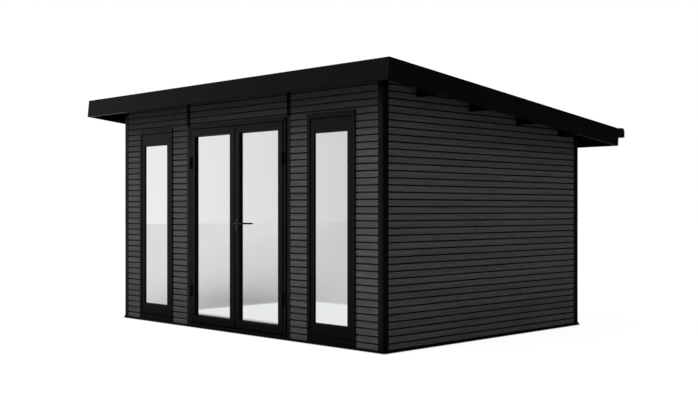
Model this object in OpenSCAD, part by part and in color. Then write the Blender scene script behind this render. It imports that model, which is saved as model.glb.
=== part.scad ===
// Mono-pitch garden shed with a glazed double door between two tall fixed windows.
// Millimetres. The origin is the centre of the base on the ground,
// +X to the right as seen from the front, +Y to the back, +Z up.

/* [Base and floor] */
// Length of the base along the front
base_w = 4000; // [3600:50:5000]
// Depth of the base from front to back
base_d = 3020; // [2600:20:3400]
// Height of the base frame, which stands on the ground
base_h = 24; // [20:1:60]
// Width of the base frame's rails
base_rail_w = 110; // [90:5:150]
// Thickness of the floor boards
floor_t = 19; // [16:1:30]
// Number of floor bearers between the side rails
bearer_count = 7; // [5:1:10]
// Width of a floor bearer
bearer_w = 60; // [40:5:90]

/* [Walls and posts] */
// Thickness of the wall panels
wall_t = 69; // [45:1:100]
// Section of a corner post: along the front, then along the side
post_size = [60, 72]; // [50:1:90]
// Width of the two posts beside the door
bay_post_w = 51; // [40:1:70]
// Clear width between the two posts beside the door
bay_w = 1516; // [1300:4:1700]
// Radius of the posts' rounded arrises
post_round = 4; // [1:0.5:8]
// How far the corner posts stand back from the base's edge at the sides
post_inset = 14; // [0:1:25]
// How far the boarded faces stand back from the base's edge: at the sides, then in front
clad_inset = [20, 3]; // [0:1:30]

/* [Door] */
// Width of a door jamb, seen from the front
jamb_w = 36; // [20:1:40]
// How far the door frame's face stands in front of the base's edge
jamb_proud = 10; // [0:1:15]
// Height of the underside of the door head above the ground
head_z = 2045; // [1950:1:2080]
// Height of the top of the door head and of the window frames
frame_top_z = 2083; // [2060:1:2150]
// Height of the threshold's top above the ground
sill_z = 45; // [40:1:60]
// Thickness of a door leaf
leaf_t = 58; // [50:1:60]
// How far a leaf's face stands in front of the base's edge
leaf_proud = 14; // [10:1:20]
// Width of a leaf's stile on its hinged side
stile_w = 62; // [55:1:90]
// Height of a leaf's top rail
top_rail_h = 73; // [55:1:100]
// Height of a leaf's bottom rail
bottom_rail_h = 85; // [60:1:160]
// Distance from the door's middle line to the glass on either side of it
pane_x = 72; // [60:1:90]
// How far to the right of the middle line the two leaves meet
meeting_x = 8; // [0:1:12]
// Gap between the two leaves
meeting_gap = 12; // [10:1:14]
// Gap between a leaf and the frame round it
leaf_gap = 6; // [5:1:8]
// How far the glass stands back from a leaf's face
glass_recess = 24; // [12:1:30]
// Thickness of the double glazing
glass_t = 20; // [4:1:20]
// Depth of the groove in which a pane's edges sit
glass_lap = 10; // [6:1:14]
// How far the lips of stiles and rails slope in towards the glass
lip_slope = 3; // [1:0.5:5]

/* [Hinges] */
// Height of a hinge
hinge_h = 114; // [90:2:150]
// Radius of a hinge's knuckles
knuckle_r = 7; // [5:0.5:9]
// Radius of a hinge's pin
pin_r = 4; // [3:0.5:4.5]
// Distance from a leaf's face forward to the hinge's axis
hinge_offset = 9; // [9:0.5:12]
// Heights of the two hinges' middles on each leaf
hinge_z = [376, 1698]; // [300:1:1800]

/* [Handle] */
// Height of the lever above the ground
lever_z = 1078; // [950:1:1150]
// Length of a lever from its spindle to its end
lever_l = 130; // [100:1:150]
// How far a lever stands off the leaf's face
lever_offset = 42; // [38:1:60]
// Width and height of a handle's backplate
plate_size = [38, 122]; // [30:1:240]

/* [Windows] */
// Width of a window frame, outside
window_w = 614; // [400:1:640]
// Distance of each window frame's outer side from the end of the base: left, then right
window_inset = [322, 339]; // [300:1:360]
// How far the window frames' faces stand in front of the base's edge
window_proud = 10; // [0:1:20]
// Width of a window frame's members
window_frame_w = 39; // [25:1:50]
// Height of a window frame's bottom and top members
window_rail_h = [50, 45]; // [40:1:60]
// Gap between a window frame and its sash
sash_gap = 6; // [2:1:8]
// How far a sash's face stands back from its frame's face
sash_recess = 6; // [4:1:12]
// Thickness of a sash
sash_t = 48; // [45:1:50]
// Width of a window sash's stiles
sash_stile_w = 46; // [40:1:80]
// Height of the bottom of a window's glass above the ground
window_glass_z = 193; // [150:1:300]
// Height of the top of a window's glass above the ground
window_glass_top_z = 1908; // [1800:1:1960]
// How far a window's glass stands back from its sash's face
window_glass_recess = 12; // [8:1:18]

/* [Roof] */
// Slope of the roof, falling to the back, in degrees
roof_pitch = 5.94; // [4:0.01:8]
// Height of the lower front edge of the front fascia
eaves_z = 2259; // [2220:1:2350]
// Overhang past the base in front
eaves_front = 288; // [200:1:400]
// Overhang past the base behind
eaves_back = 268; // [150:1:400]
// Overhang past the base at each side
eaves_side = 307; // [150:1:400]
// Depth of the fascia boards
fascia_h = 186; // [180:1:220]
// Thickness of the fascia boards
fascia_t = 22; // [16:1:30]
// Width and depth of a purlin
purlin_size = [45, 130]; // [40:1:160]
// Height of the purlins' undersides above the fascias' lower edge
purlin_lift = 20; // [15:1:40]
// Number of purlins
purlin_count = 4; // [3:1:5]
// Distance from the front edge to the first purlin, down the slope
purlin_first = 721; // [600:1:800]
// Distance from one purlin to the next
purlin_step = 745; // [500:1:750]
// Thickness of the roof boards
deck_t = 22; // [18:1:25]
// Thickness of the roof covering
cover_t = 4; // [3:1:6]

/* [Gutter] */
// Width and height of the box gutter
gutter_size = [110, 81]; // [80:1:150]
// Height of the gutter's outer lip above the ground
gutter_top_z = 2060; // [2040:1:2062]
// Thickness of the gutter's walls
gutter_t = 3; // [3:0.5:5]
// Number of gutter brackets
bracket_count = 6; // [4:1:9]
// Width of a gutter bracket
bracket_w = 30; // [20:1:50]

/* [Hidden] */
$fn = 48;

half_w = base_w / 2;
half_d = base_d / 2;
front_y = -half_d;
inner_x = half_w - clad_inset[0] - wall_t;
inner_y = half_d - clad_inset[1] - wall_t;
post_x = half_w - post_inset;
floor_z = base_h + floor_t;

roof_y = front_y - eaves_front;
slope_l = (base_d + eaves_front + eaves_back) / cos(roof_pitch);
roof_x = half_w + eaves_side;
deck_n = purlin_lift + purlin_size[1];
fit_gap = 0.1;
wall_top_n = deck_n - fit_gap;
cover_n = deck_n + deck_t;

door_x = bay_w / 2 - jamb_w;
leaf_x = door_x - leaf_gap;
leaf_y = front_y - leaf_proud;
leaf_z = sill_z + leaf_gap;
leaf_top = head_z - leaf_gap;
stop_w = 12;
stop_gap = 6;
hinge_x = door_x - leaf_gap / 2;
hinge_y = leaf_y - hinge_offset;
hinge_plate_t = 4;
hinge_plate_w = 17;
knuckle_gap = 0.5;
pin_clear = 0.05;
free_x = meeting_x + meeting_gap / 2;
lever_x = (free_x + pane_x) / 2;
spindle_w = 8;
spindle_bore_r = 6.5;

// Height of the plane that lies n above the fascias' lower edges, at a distance y back
function roof_z(y, n) = eaves_z - (y - roof_y) * tan(roof_pitch) + n / cos(roof_pitch);

// Places its children in the roof's own frame: y down the slope, z square to it
module on_roof() {
    translate([0, roof_y, eaves_z]) rotate([-roof_pitch, 0, 0]) children();
}

// A block between two opposite corners
module block(low, high) {
    translate(low) cube(high - low);
}

// Carries an outline in the Y-Z plane along X from x0 to x1
module along_x(x0, x1) {
    translate([x0, 0, 0]) rotate([90, 0, 90]) linear_extrude(x1 - x0) children();
}

// The same for an outline given by its corners
module across(x0, x1, points) along_x(x0, x1) polygon(points);

// An upright block whose top follows the roof, n above the fascias' lower edges
module raked(x0, x1, y0, y1, z0, n) {
    across(x0, x1, [[y0, z0], [y1, z0], [y1, roof_z(y1, n)], [y0, roof_z(y0, n)]]);
}

// A rectangle with rounded corners between two opposite corners
module rounded(low, high, r) {
    translate([low[0] + r, low[1]]) square([high[0] - low[0] - 2 * r, high[1] - low[1]]);
    translate([low[0], low[1] + r]) square([high[0] - low[0], high[1] - low[1] - 2 * r]);
    for (x = [low[0] + r, high[0] - r], y = [low[1] + r, high[1] - r]) translate([x, y]) circle(r);
}

// A post with rounded arrises and a raked top
module post(x0, x1, y0, y1) {
    intersection() {
        raked(x0, x1, y0, y1, base_h, wall_top_n);
        linear_extrude(2 * eaves_z) rounded([x0, y0], [x1, y1], post_round);
    }
}

// A rectangular frame with its opening cut through from front to back
module frame(x0, x1, y0, y1, z0, z1, side, bottom, top) {
    difference() {
        block([x0, y0, z0], [x1, y1, z1]);
        block([x0 + side, y0 - 1, z0 + bottom], [x1 - side, y1 + 1, z1 - top]);
    }
}

// A block whose four sides lie front_in within its corners at the front and back_in at the back
module splay(low, high, front_in, back_in) {
    intersection() {
        translate([0, 0, low[2]]) linear_extrude(high[2] - low[2]) polygon([
            [low[0] + front_in, low[1]], [high[0] - front_in, low[1]],
            [high[0] - back_in, high[1]], [low[0] + back_in, high[1]]
        ]);
        across(low[0], high[0], [
            [low[1], low[2] + front_in], [low[1], high[2] - front_in],
            [high[1], high[2] - back_in], [high[1], low[2] + back_in]
        ]);
    }
}

// A pane in a light from x0 to x1 and z0 to z1, with its front at y and its edges in the grooves
module pane(x0, x1, y, z0, z1) {
    block([x0 - glass_lap, y, z0 - glass_lap], [x1 + glass_lap, y + glass_t, z1 + glass_lap]);
}

// A glazed frame from corner to corner: sloping lips in front of the glass and beads behind it
module glazed(low, high, x0, x1, z0, z1, recess) {
    y0 = low[1];
    y1 = high[1];
    glass_y = y0 + recess;
    difference() {
        block(low, high);
        splay([x0, y0, z0], [x1, glass_y, z1], 0, lip_slope);
        pane(x0, x1, glass_y, z0, z1);
        splay([x0, glass_y + glass_t, z0], [x1, y1, z1], lip_slope, 0);
    }
}

module mirrored_if(flip) {
    if (flip) mirror([1, 0, 0]) children();
    else children();
}

/* Base and floor */

module base_frame() {
    color([0.06, 0.06, 0.06]) difference() {
        block([-half_w, -half_d, 0], [half_w, half_d, base_h]);
        block([base_rail_w - half_w, base_rail_w - half_d, -1],
              [half_w - base_rail_w, half_d - base_rail_w, base_h + 1]);
    }
}

module floor_bearers() {
    clear_w = base_w - 2 * base_rail_w;
    step = clear_w / (bearer_count + 1);
    color([0.45, 0.4, 0.3]) for (i = [1 : bearer_count]) {
        x = step * i - clear_w / 2;
        block([x - bearer_w / 2, base_rail_w - half_d, 0], [x + bearer_w / 2, half_d - base_rail_w, base_h]);
    }
}

module floor_boards() {
    color([0.75, 0.62, 0.44]) block([-inner_x, -inner_y, base_h], [inner_x, inner_y, floor_z]);
}

/* Posts and walls */

module corner_posts() {
    color([0.08, 0.08, 0.08]) for (side = [0, 1]) mirrored_if(side == 0) {
        post(post_x - post_size[0], post_x, -half_d, post_size[1] - half_d);
        post(post_x - post_size[0], post_x, half_d - post_size[1], half_d);
    }
}

module bay_posts() {
    color([0.08, 0.08, 0.08]) for (side = [0, 1]) mirrored_if(side == 0)
        post(bay_w / 2, bay_w / 2 + bay_post_w, front_y, -inner_y);
}

module side_bay_wall(flip) {
    x0 = bay_w / 2 + bay_post_w;
    x1 = post_x - post_size[0];
    window_x = half_w - window_inset[flip ? 0 : 1];
    color([0.23, 0.24, 0.24]) mirrored_if(flip) difference() {
        raked(x0, x1, front_y + clad_inset[1], -inner_y, base_h, wall_top_n);
        block([window_x - window_w, front_y - 1, base_h - 1], [window_x, 1 - inner_y, frame_top_z]);
    }
}

module front_wall_left() side_bay_wall(true);

module front_wall_right() side_bay_wall(false);

module front_wall_over_door() {
    color([0.23, 0.24, 0.24])
        raked(-bay_w / 2, bay_w / 2, front_y + clad_inset[1], -inner_y, frame_top_z, wall_top_n);
}

module side_wall(flip) {
    y = half_d - post_size[1];
    color([0.2, 0.21, 0.21]) mirrored_if(flip)
        raked(inner_x, half_w - clad_inset[0], -y, y, base_h, purlin_lift - fit_gap);
}

module left_wall() side_wall(true);

module right_wall() side_wall(false);

module back_wall() {
    x = post_x - post_size[0];
    color([0.2, 0.21, 0.21]) raked(-x, x, inner_y, half_d - clad_inset[1], base_h, wall_top_n);
}

// The pieces that close a side wall between the purlins
module gable_infill(flip) {
    y = half_d - post_size[1];
    color([0.2, 0.21, 0.21]) mirrored_if(flip) difference() {
        across(inner_x, half_w - clad_inset[0], [
            [-y, roof_z(-y, purlin_lift)], [y, roof_z(y, purlin_lift)],
            [y, roof_z(y, wall_top_n)], [-y, roof_z(-y, wall_top_n)]
        ]);
        purlin_bars(fit_gap);
    }
}

module left_gable_infill() gable_infill(true);

module right_gable_infill() gable_infill(false);

/* Windows */

sash_y = sash_recess - window_proud;
sash_side = window_frame_w + sash_gap;
light_side = sash_side + sash_stile_w;

// Places its children for the right window, or mirrored for the left one, from the base's edge
module at_window(flip) {
    mirrored_if(flip) translate([half_w - window_inset[flip ? 0 : 1] - window_w, front_y, 0]) children();
}

// The outer frame, with a stop behind the sash
module window_frame(flip) {
    stop_y = sash_y + sash_t;
    inner = clad_inset[1] + wall_t;
    bottom = window_rail_h[0];
    top = window_rail_h[1];
    stop = sash_gap + stop_w;
    color([0.1, 0.1, 0.1]) at_window(flip) {
        frame(0, window_w, -window_proud, stop_y, base_h, frame_top_z, window_frame_w, bottom, top);
        frame(0, window_w, stop_y, inner, base_h, frame_top_z,
              window_frame_w + stop, bottom + stop, top + stop);
    }
}

module window_sash(flip) {
    color([0.12, 0.12, 0.12]) at_window(flip)
        glazed([sash_side, sash_y, base_h + window_rail_h[0] + sash_gap],
               [window_w - sash_side, sash_y + sash_t, frame_top_z - window_rail_h[1] - sash_gap],
               light_side, window_w - light_side, window_glass_z, window_glass_top_z, window_glass_recess);
}

module window_glass(flip) {
    color([0.85, 0.88, 0.88, 0.5]) at_window(flip)
        pane(light_side, window_w - light_side, sash_y + window_glass_recess, window_glass_z, window_glass_top_z);
}

module left_window_frame() window_frame(true);

module left_window_sash() window_sash(true);

module left_window_glass() window_glass(true);

module right_window_frame() window_frame(false);

module right_window_sash() window_sash(false);

module right_window_glass() window_glass(false);

/* Door frame and leaves */

frame_y = front_y - jamb_proud;
stop_y = leaf_y + leaf_t + stop_gap;

// Both jambs, each with a stop behind the leaf's edge
module door_jambs() {
    color([0.1, 0.1, 0.1]) for (side = [0, 1]) mirrored_if(side == 0) {
        block([door_x, frame_y, base_h], [door_x + jamb_w, -inner_y, frame_top_z]);
        block([door_x - stop_w, stop_y, sill_z + stop_w], [door_x, -inner_y, head_z - stop_w]);
    }
}

module door_head() {
    color([0.1, 0.1, 0.1]) across(-door_x, door_x, [
        [frame_y, head_z], [stop_y, head_z], [stop_y, head_z - stop_w],
        [-inner_y, head_z - stop_w], [-inner_y, frame_top_z], [frame_y, frame_top_z]
    ]);
}

// A threshold with a sloping nose, a ribbed tread and an upstand behind the leaves
module door_sill() {
    nose_y = leaf_y - 4;
    rib_count = 4;
    rib_step = 12;
    rib_h = 1.5;
    color([0.1, 0.1, 0.1]) {
        across(-door_x, door_x, [
            [frame_y, base_h], [nose_y, base_h], [nose_y, base_h + 5], [leaf_y + 12, sill_z - rib_h],
            [stop_y, sill_z - rib_h], [stop_y, sill_z + stop_w], [-inner_y, sill_z + stop_w],
            [-inner_y, base_h]
        ]);
        for (i = [0 : rib_count - 1])
            block([-door_x, leaf_y + 14 + rib_step * i, sill_z - 2 * rib_h],
                  [door_x, leaf_y + 18 + rib_step * i, sill_z]);
    }
}

// How far from the middle line a leaf's free side stands: the left leaf reaches past the line
function leaf_free_x(flip) = meeting_gap / 2 + (flip ? -meeting_x : meeting_x);

// A glazed leaf; the right one is bored for the handle's spindle
module door_leaf(flip) {
    color([0.12, 0.12, 0.12]) mirrored_if(flip) difference() {
        glazed([leaf_free_x(flip), leaf_y, leaf_z], [leaf_x, leaf_y + leaf_t, leaf_top],
               pane_x, leaf_x - stile_w, leaf_z + bottom_rail_h, leaf_top - top_rail_h, glass_recess);
        if (!flip) translate([lever_x, leaf_y - 1, lever_z]) rotate([-90, 0, 0])
            cylinder(r = spindle_bore_r, h = leaf_t + 2);
    }
}

module door_glass(flip) {
    color([0.85, 0.88, 0.88, 0.5]) mirrored_if(flip)
        pane(pane_x, leaf_x - stile_w, leaf_y + glass_recess, leaf_z + bottom_rail_h, leaf_top - top_rail_h);
}

module left_door_leaf() door_leaf(true);

module left_door_glass() door_glass(true);

module right_door_leaf() door_leaf(false);

module right_door_glass() door_glass(false);

/* Hinges */

// A knuckle about a hinge's axis, from z0 to z1 above the hinge's foot
module knuckle(z0, z1) {
    translate([0, 0, z0]) cylinder(r = knuckle_r, h = z1 - z0);
}

// A shallow dome that closes an end of a hinge; up is 1 at the top and -1 at the foot
module hinge_cap(z, up) {
    rise = 3;
    dome_r = (knuckle_r * knuckle_r + rise * rise) / (2 * rise);
    translate([0, 0, z]) mirror([0, 0, up < 0 ? 1 : 0]) intersection() {
        translate([0, 0, rise - dome_r]) sphere(r = dome_r, $fn = 96);
        cylinder(r = knuckle_r, h = rise);
    }
}

// A hinge plate with rounded corners, flat against a face, from x0 to x1
module hinge_plate(x0, x1, y) {
    translate([0, y + hinge_plate_t, 0]) rotate([90, 0, 0])
        linear_extrude(hinge_plate_t) rounded([x0, 0], [x1, hinge_h], 4);
}

// The half of a hinge that is fixed to the jamb, with the pin
module hinge_post() {
    third = hinge_h / 3;
    plate_y = leaf_proud - jamb_proud + hinge_offset - hinge_plate_t;
    plate_x = knuckle_r + 2;
    knuckle(0, third - knuckle_gap);
    knuckle(2 * third + knuckle_gap, hinge_h);
    hinge_cap(hinge_h, 1);
    hinge_cap(0, -1);
    cylinder(r = pin_r, h = hinge_h);
    hinge_plate(plate_x, plate_x + hinge_plate_w, plate_y);
    for (z = [4, 2 * third + knuckle_gap])
        block([knuckle_r - 3, 1, z], [plate_x + 3, plate_y + hinge_plate_t, z + third - knuckle_gap - 4]);
}

// The half of a hinge that is fixed to the leaf
module hinge_flag() {
    third = hinge_h / 3;
    plate_x = knuckle_r + 2;
    plate_y = hinge_offset - hinge_plate_t;
    difference() {
        union() {
            knuckle(third + knuckle_gap, 2 * third - knuckle_gap);
            block([-plate_x - 1, plate_y - 3, third + knuckle_gap], [0, hinge_offset, 2 * third - knuckle_gap]);
            hinge_plate(-plate_x - hinge_plate_w, -plate_x, plate_y);
        }
        translate([0, 0, -1]) cylinder(r = pin_r + pin_clear, h = hinge_h + 2);
    }
}

// Places its children at both hinges of the right leaf, or mirrored for the left one
module at_hinges(flip) {
    mirrored_if(flip) for (z = hinge_z)
        translate([hinge_x, hinge_y, z - hinge_h / 2]) children();
}

module left_hinge_posts() color([0.02, 0.02, 0.02]) at_hinges(true) hinge_post();

module right_hinge_posts() color([0.02, 0.02, 0.02]) at_hinges(false) hinge_post();

module left_hinge_flags() color([0.03, 0.03, 0.03]) at_hinges(true) hinge_flag();

module right_hinge_flags() color([0.03, 0.03, 0.03]) at_hinges(false) hinge_flag();

/* Handle */

plate_t = 8;
plate_z = lever_z - 81;
neck_r = 9;
bend_r = 16;
tip_r = 7;
cylinder_z = lever_z - 58;

// One backplate with its lock cylinder, on a face at y = 0, bored for the lever's neck
module handle_plate() {
    difference() {
        union() {
            rotate([90, 0, 0]) linear_extrude(plate_t)
                rounded([-plate_size[0] / 2, plate_z], [plate_size[0] / 2, plate_z + plate_size[1]], 12);
            rotate([90, 0, 0]) linear_extrude(plate_t + 3) {
                translate([0, cylinder_z + 8]) circle(8.5);
                rounded([-5, cylinder_z - 16], [5, cylinder_z + 8], 4.9);
            }
        }
        translate([0, 1, lever_z]) rotate([90, 0, 0]) cylinder(r = neck_r + 0.5, h = plate_t + 2);
    }
}

// The plates on both faces of the leaf
module handle_plates() {
    color([0.05, 0.05, 0.05]) {
        translate([lever_x, leaf_y, 0]) handle_plate();
        translate([lever_x, leaf_y + leaf_t, 0]) mirror([0, 1, 0]) handle_plate();
    }
}

// A lever: a neck out of the plate, an elbow, and a grip that tapers to a rounded tip
module lever() {
    neck_l = lever_offset - bend_r;
    rotate([90, 0, 0]) cylinder(r = neck_r, h = neck_l);
    translate([bend_r, -neck_l, 0]) rotate([0, 0, 180])
        rotate_extrude(angle = 90) translate([bend_r, 0]) circle(neck_r);
    translate([bend_r, -lever_offset, 0]) rotate([0, 90, 0])
        cylinder(r1 = neck_r, r2 = tip_r, h = lever_l - bend_r - tip_r);
    translate([lever_l - tip_r, -lever_offset, 0]) sphere(r = tip_r);
}

// Both levers and the square spindle that joins them through the leaf
module handle_levers() {
    stand_off = 0.5;
    color([0.04, 0.04, 0.04]) translate([lever_x, 0, lever_z]) {
        translate([0, leaf_y - stand_off, 0]) lever();
        translate([0, leaf_y + leaf_t + stand_off, 0]) mirror([0, 1, 0]) lever();
        block([-spindle_w / 2, leaf_y - 2, -spindle_w / 2], [spindle_w / 2, leaf_y + leaf_t + 2, spindle_w / 2]);
    }
}

/* Roof */

// The purlins, made wider and taller by extra where they cut other pieces
module purlin_bars(extra = 0) {
    on_roof() for (i = [0 : purlin_count - 1]) {
        y = purlin_first + purlin_step * i;
        block([fascia_t - roof_x, y - extra, purlin_lift - 20 * extra],
              [roof_x - fascia_t, y + purlin_size[0] + extra, deck_n + 20 * extra]);
    }
}

module purlins() color([0.05, 0.05, 0.05]) purlin_bars();

module roof_boards() {
    color([0.1, 0.1, 0.1]) on_roof()
        block([fascia_t - roof_x, fascia_t, deck_n], [roof_x - fascia_t, slope_l - fascia_t, cover_n]);
}

// The sheet with its edges turned up against the fascias and down into the gutter
module roof_covering() {
    drip = 13;
    drip_h = 12;
    fillet = 8;
    x = roof_x - fascia_t;
    top = cover_n + cover_t;
    color([0.15, 0.15, 0.16]) on_roof() {
        block([-x, fascia_t, cover_n], [x, slope_l + drip, top]);
        block([-x, slope_l + drip - cover_t, cover_n - drip_h], [x, slope_l + drip, cover_n]);
        across(-x, x, [[fascia_t, cover_n], [fascia_t + fillet, cover_n], [fascia_t, top + fillet - 2]]);
        for (side = [0, 1]) mirror([side, 0, 0]) translate([0, slope_l, 0]) rotate([90, 0, 0])
            linear_extrude(slope_l - fascia_t)
                polygon([[x - fillet, cover_n], [x, cover_n], [x, top + fillet - 2]]);
    }
}

module front_fascia() {
    color([0.1, 0.1, 0.1]) on_roof() block([-roof_x, 0, 0], [roof_x, fascia_t, fascia_h]);
}

module back_fascia() {
    color([0.1, 0.1, 0.1]) on_roof()
        block([fascia_t - roof_x, slope_l - fascia_t, 0], [roof_x - fascia_t, slope_l, cover_n]);
}

module side_fascia(flip) {
    color([0.06, 0.06, 0.06]) mirrored_if(flip) on_roof()
        block([roof_x - fascia_t, fascia_t, 0], [roof_x, slope_l, fascia_h]);
}

module left_fascia() side_fascia(true);

module right_fascia() side_fascia(false);

/* Gutter */

gutter_y = roof_y + slope_l * cos(roof_pitch) + fascia_h * sin(roof_pitch) + 1;
gutter_z = gutter_top_z - gutter_size[1];

// The gutter's outside in section, drawn in by inset, with rounded lower corners
module gutter_outline(inset) {
    r = 8 - inset;
    rise = 30;
    difference() {
        rounded([gutter_y + inset, gutter_z + inset],
                [gutter_y + gutter_size[0] - inset, gutter_top_z + rise], r);
        translate([gutter_y - 1, gutter_top_z + (inset > 0 ? 1 : 0)]) square([gutter_size[0] + 2, 2 * rise]);
    }
}

// A box gutter with a low back wall, a returned front lip and closed ends
module gutter() {
    lip_drop = 10;
    lip_w = 9;
    lip_x = gutter_y + gutter_size[0];
    color([0.1, 0.1, 0.1]) {
        along_x(-roof_x, roof_x) {
            difference() {
                gutter_outline(0);
                gutter_outline(gutter_t);
                translate([gutter_y - 1, gutter_top_z - lip_drop])
                    square([gutter_t + 2, lip_drop + 1]);
            }
            translate([lip_x - lip_w, gutter_top_z - gutter_t]) square([lip_w, gutter_t]);
            translate([lip_x - lip_w, gutter_top_z - gutter_t / 2]) circle(gutter_t / 2);
        }
        for (x = [-roof_x, roof_x - gutter_t]) along_x(x, x + gutter_t) difference() {
            gutter_outline(0);
            translate([gutter_y - 1, gutter_top_z - lip_drop])
                square([gutter_size[0] - lip_w, lip_drop + 1]);
        }
    }
}

// Straps under the gutter, wedged to the sloping face of the back fascia
module gutter_brackets() {
    strap_t = 4;
    back_z = gutter_top_z - 30;
    face_y = function(z) roof_y + slope_l * cos(roof_pitch)
        + (z - (eaves_z - slope_l * sin(roof_pitch))) * tan(roof_pitch);
    span = 2 * roof_x - 300;
    color([0.07, 0.07, 0.07]) for (i = [0 : bracket_count - 1]) {
        x = span * (i / (bracket_count - 1) - 0.5);
        across(x - bracket_w / 2, x + bracket_w / 2, [
            [face_y(back_z), back_z], [gutter_y, back_z], [gutter_y, gutter_z],
            [gutter_y + gutter_size[0], gutter_z], [gutter_y + gutter_size[0], gutter_z - strap_t],
            [face_y(gutter_z - strap_t), gutter_z - strap_t]
        ]);
    }
}

base_frame();
floor_bearers();
floor_boards();
corner_posts();
bay_posts();
front_wall_left();
front_wall_right();
front_wall_over_door();
left_wall();
right_wall();
back_wall();
left_gable_infill();
right_gable_infill();
left_window_frame();
left_window_sash();
left_window_glass();
right_window_frame();
right_window_sash();
right_window_glass();
door_jambs();
door_head();
door_sill();
left_door_leaf();
left_door_glass();
right_door_leaf();
right_door_glass();
left_hinge_posts();
left_hinge_flags();
right_hinge_posts();
right_hinge_flags();
handle_plates();
handle_levers();
purlins();
roof_boards();
roof_covering();
front_fascia();
back_fascia();
left_fascia();
right_fascia();
gutter();
gutter_brackets();
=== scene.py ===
# %% [markdown]
# # A garden shed with a mono-pitch roof
# The shed is a box of dark composite boards between black posts. A glazed double door stands
# between two tall fixed windows, and a flat roof with deep fascias falls gently to a gutter
# at the back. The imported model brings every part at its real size. This script keeps those
# sizes and gives each part the edges, joints and finishes that the real one has.

# %% Load the frame
import math

import bmesh
import bpy
import numpy as np
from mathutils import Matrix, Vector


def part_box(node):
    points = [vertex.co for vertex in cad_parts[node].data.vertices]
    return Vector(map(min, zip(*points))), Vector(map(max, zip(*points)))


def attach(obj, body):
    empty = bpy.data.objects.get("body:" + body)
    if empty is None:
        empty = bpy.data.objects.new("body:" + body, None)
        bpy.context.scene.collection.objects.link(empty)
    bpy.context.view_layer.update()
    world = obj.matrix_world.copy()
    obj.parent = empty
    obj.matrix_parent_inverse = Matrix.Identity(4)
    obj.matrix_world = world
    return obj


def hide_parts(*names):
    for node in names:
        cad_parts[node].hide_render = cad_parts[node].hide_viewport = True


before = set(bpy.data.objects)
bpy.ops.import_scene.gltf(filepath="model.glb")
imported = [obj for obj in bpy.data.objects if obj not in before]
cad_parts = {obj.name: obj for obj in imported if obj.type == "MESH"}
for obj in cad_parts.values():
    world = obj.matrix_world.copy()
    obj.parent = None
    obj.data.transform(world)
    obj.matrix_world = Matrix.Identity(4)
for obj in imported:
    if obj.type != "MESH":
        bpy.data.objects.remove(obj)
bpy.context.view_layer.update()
MM = 0.001

# %% [markdown]
# ## Camera
# The shed is looked at from its front right corner, from about chest height, with a level
# camera so that its posts stay upright in the picture. A moderately long lens keeps the
# corner from looking stretched.

# %% Camera
LENS, SENSOR = 51.02, 36.0
CAMERA_AT = (7.677, -7.606, 1.2225)
CAMERA_TILT, CAMERA_TURN = math.radians(89.963), math.radians(45.004)
scene = bpy.context.scene
camera_data = bpy.data.cameras.new("corner_view")
camera_data.sensor_width = SENSOR
camera_data.lens = LENS
camera = bpy.data.objects.new("corner_view", camera_data)
camera.location = CAMERA_AT
camera.rotation_euler = (CAMERA_TILT, 0.0, CAMERA_TURN)
scene.collection.objects.link(camera)
scene.camera = camera
scene.view_settings.view_transform = "Standard"
print("camera", CAMERA_AT, "lens", LENS, "mm")

# %% [markdown]
# ## Places taken from the frame
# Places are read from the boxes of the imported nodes, so that a change in the construction
# carries over. A box stands upright and says nothing about a slope, so the roof's pitch and the
# thicknesses across it are given as numbers. The roof has its own frame: x along the eaves, s
# down the slope from the front edge, and n square to the slope above the fascias' lower edges.

# %% Measure the frame


def box(name):
    """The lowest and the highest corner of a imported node, as two arrays in metres."""
    low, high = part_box(name)
    return np.array(low), np.array(high)


ROOF_PITCH = math.radians(5.94)
FASCIA_T = 22 * MM
FASCIA_H = 186 * MM
DECK_N = 150 * MM
DECK_T = 22 * MM
fascia_low, fascia_high = box("front_fascia")
roof_origin = np.array([0.0, fascia_low[1], fascia_low[2] + FASCIA_T * math.sin(ROOF_PITCH)])
roof_x = fascia_high[0]
base_low, base_high = box("base_frame")


def on_roof(points):
    """Points (x, s, n) of the roof's frame as points of the shed: turned by the pitch about
    the x axis and moved to the front fascia's lower edge."""
    x, s, n = np.moveaxis(np.asarray(points, float), -1, 0)
    y = s * math.cos(ROOF_PITCH) + n * math.sin(ROOF_PITCH)
    z = n * math.cos(ROOF_PITCH) - s * math.sin(ROOF_PITCH)
    return np.stack([x, y, z], axis=-1) + roof_origin


def roof_z(y, n):
    """Height of the plane n above the fascias' lower edges, at a distance y back."""
    return roof_origin[2] - (y - roof_origin[1]) * math.tan(ROOF_PITCH) + n / math.cos(ROOF_PITCH)


roof_depth = box("right_fascia")[1][1] - roof_origin[1]
roof_length = (roof_depth - FASCIA_H * math.sin(ROOF_PITCH)) / math.cos(ROOF_PITCH)
print("roof over the door", round(roof_z(base_low[1], DECK_N), 3), "m; slope", round(roof_length, 3), "m")

# %% [markdown]
# ## Shapes from arrays
# A shape here is a pair: an array of points, and a list of faces that number those points.
# Straight members are lofts: a ring of points is repeated along the member, and neighbouring
# rings are joined by quads. The real members all have slightly rounded edges. Sawn timber gets
# them from the Bevel modifier. Moulded profiles carry them in the outline itself, so that the
# mitred corners stay crisp; a sharp edge never catches the light and looks like paper.

# %% Lofts


def ring_faces(rings, around):
    """Quads between neighbouring rings of a loft, each quad going round the ring by one point
    and on to the next ring."""
    first = np.arange(rings - 1)[:, None] * around
    second = first + around
    here = np.arange(around)[None, :]
    after = (here + 1) % around
    quads = np.stack([first + here, first + after, second + after, second + here], axis=-1)
    return quads.reshape(-1, 4).tolist()


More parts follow.
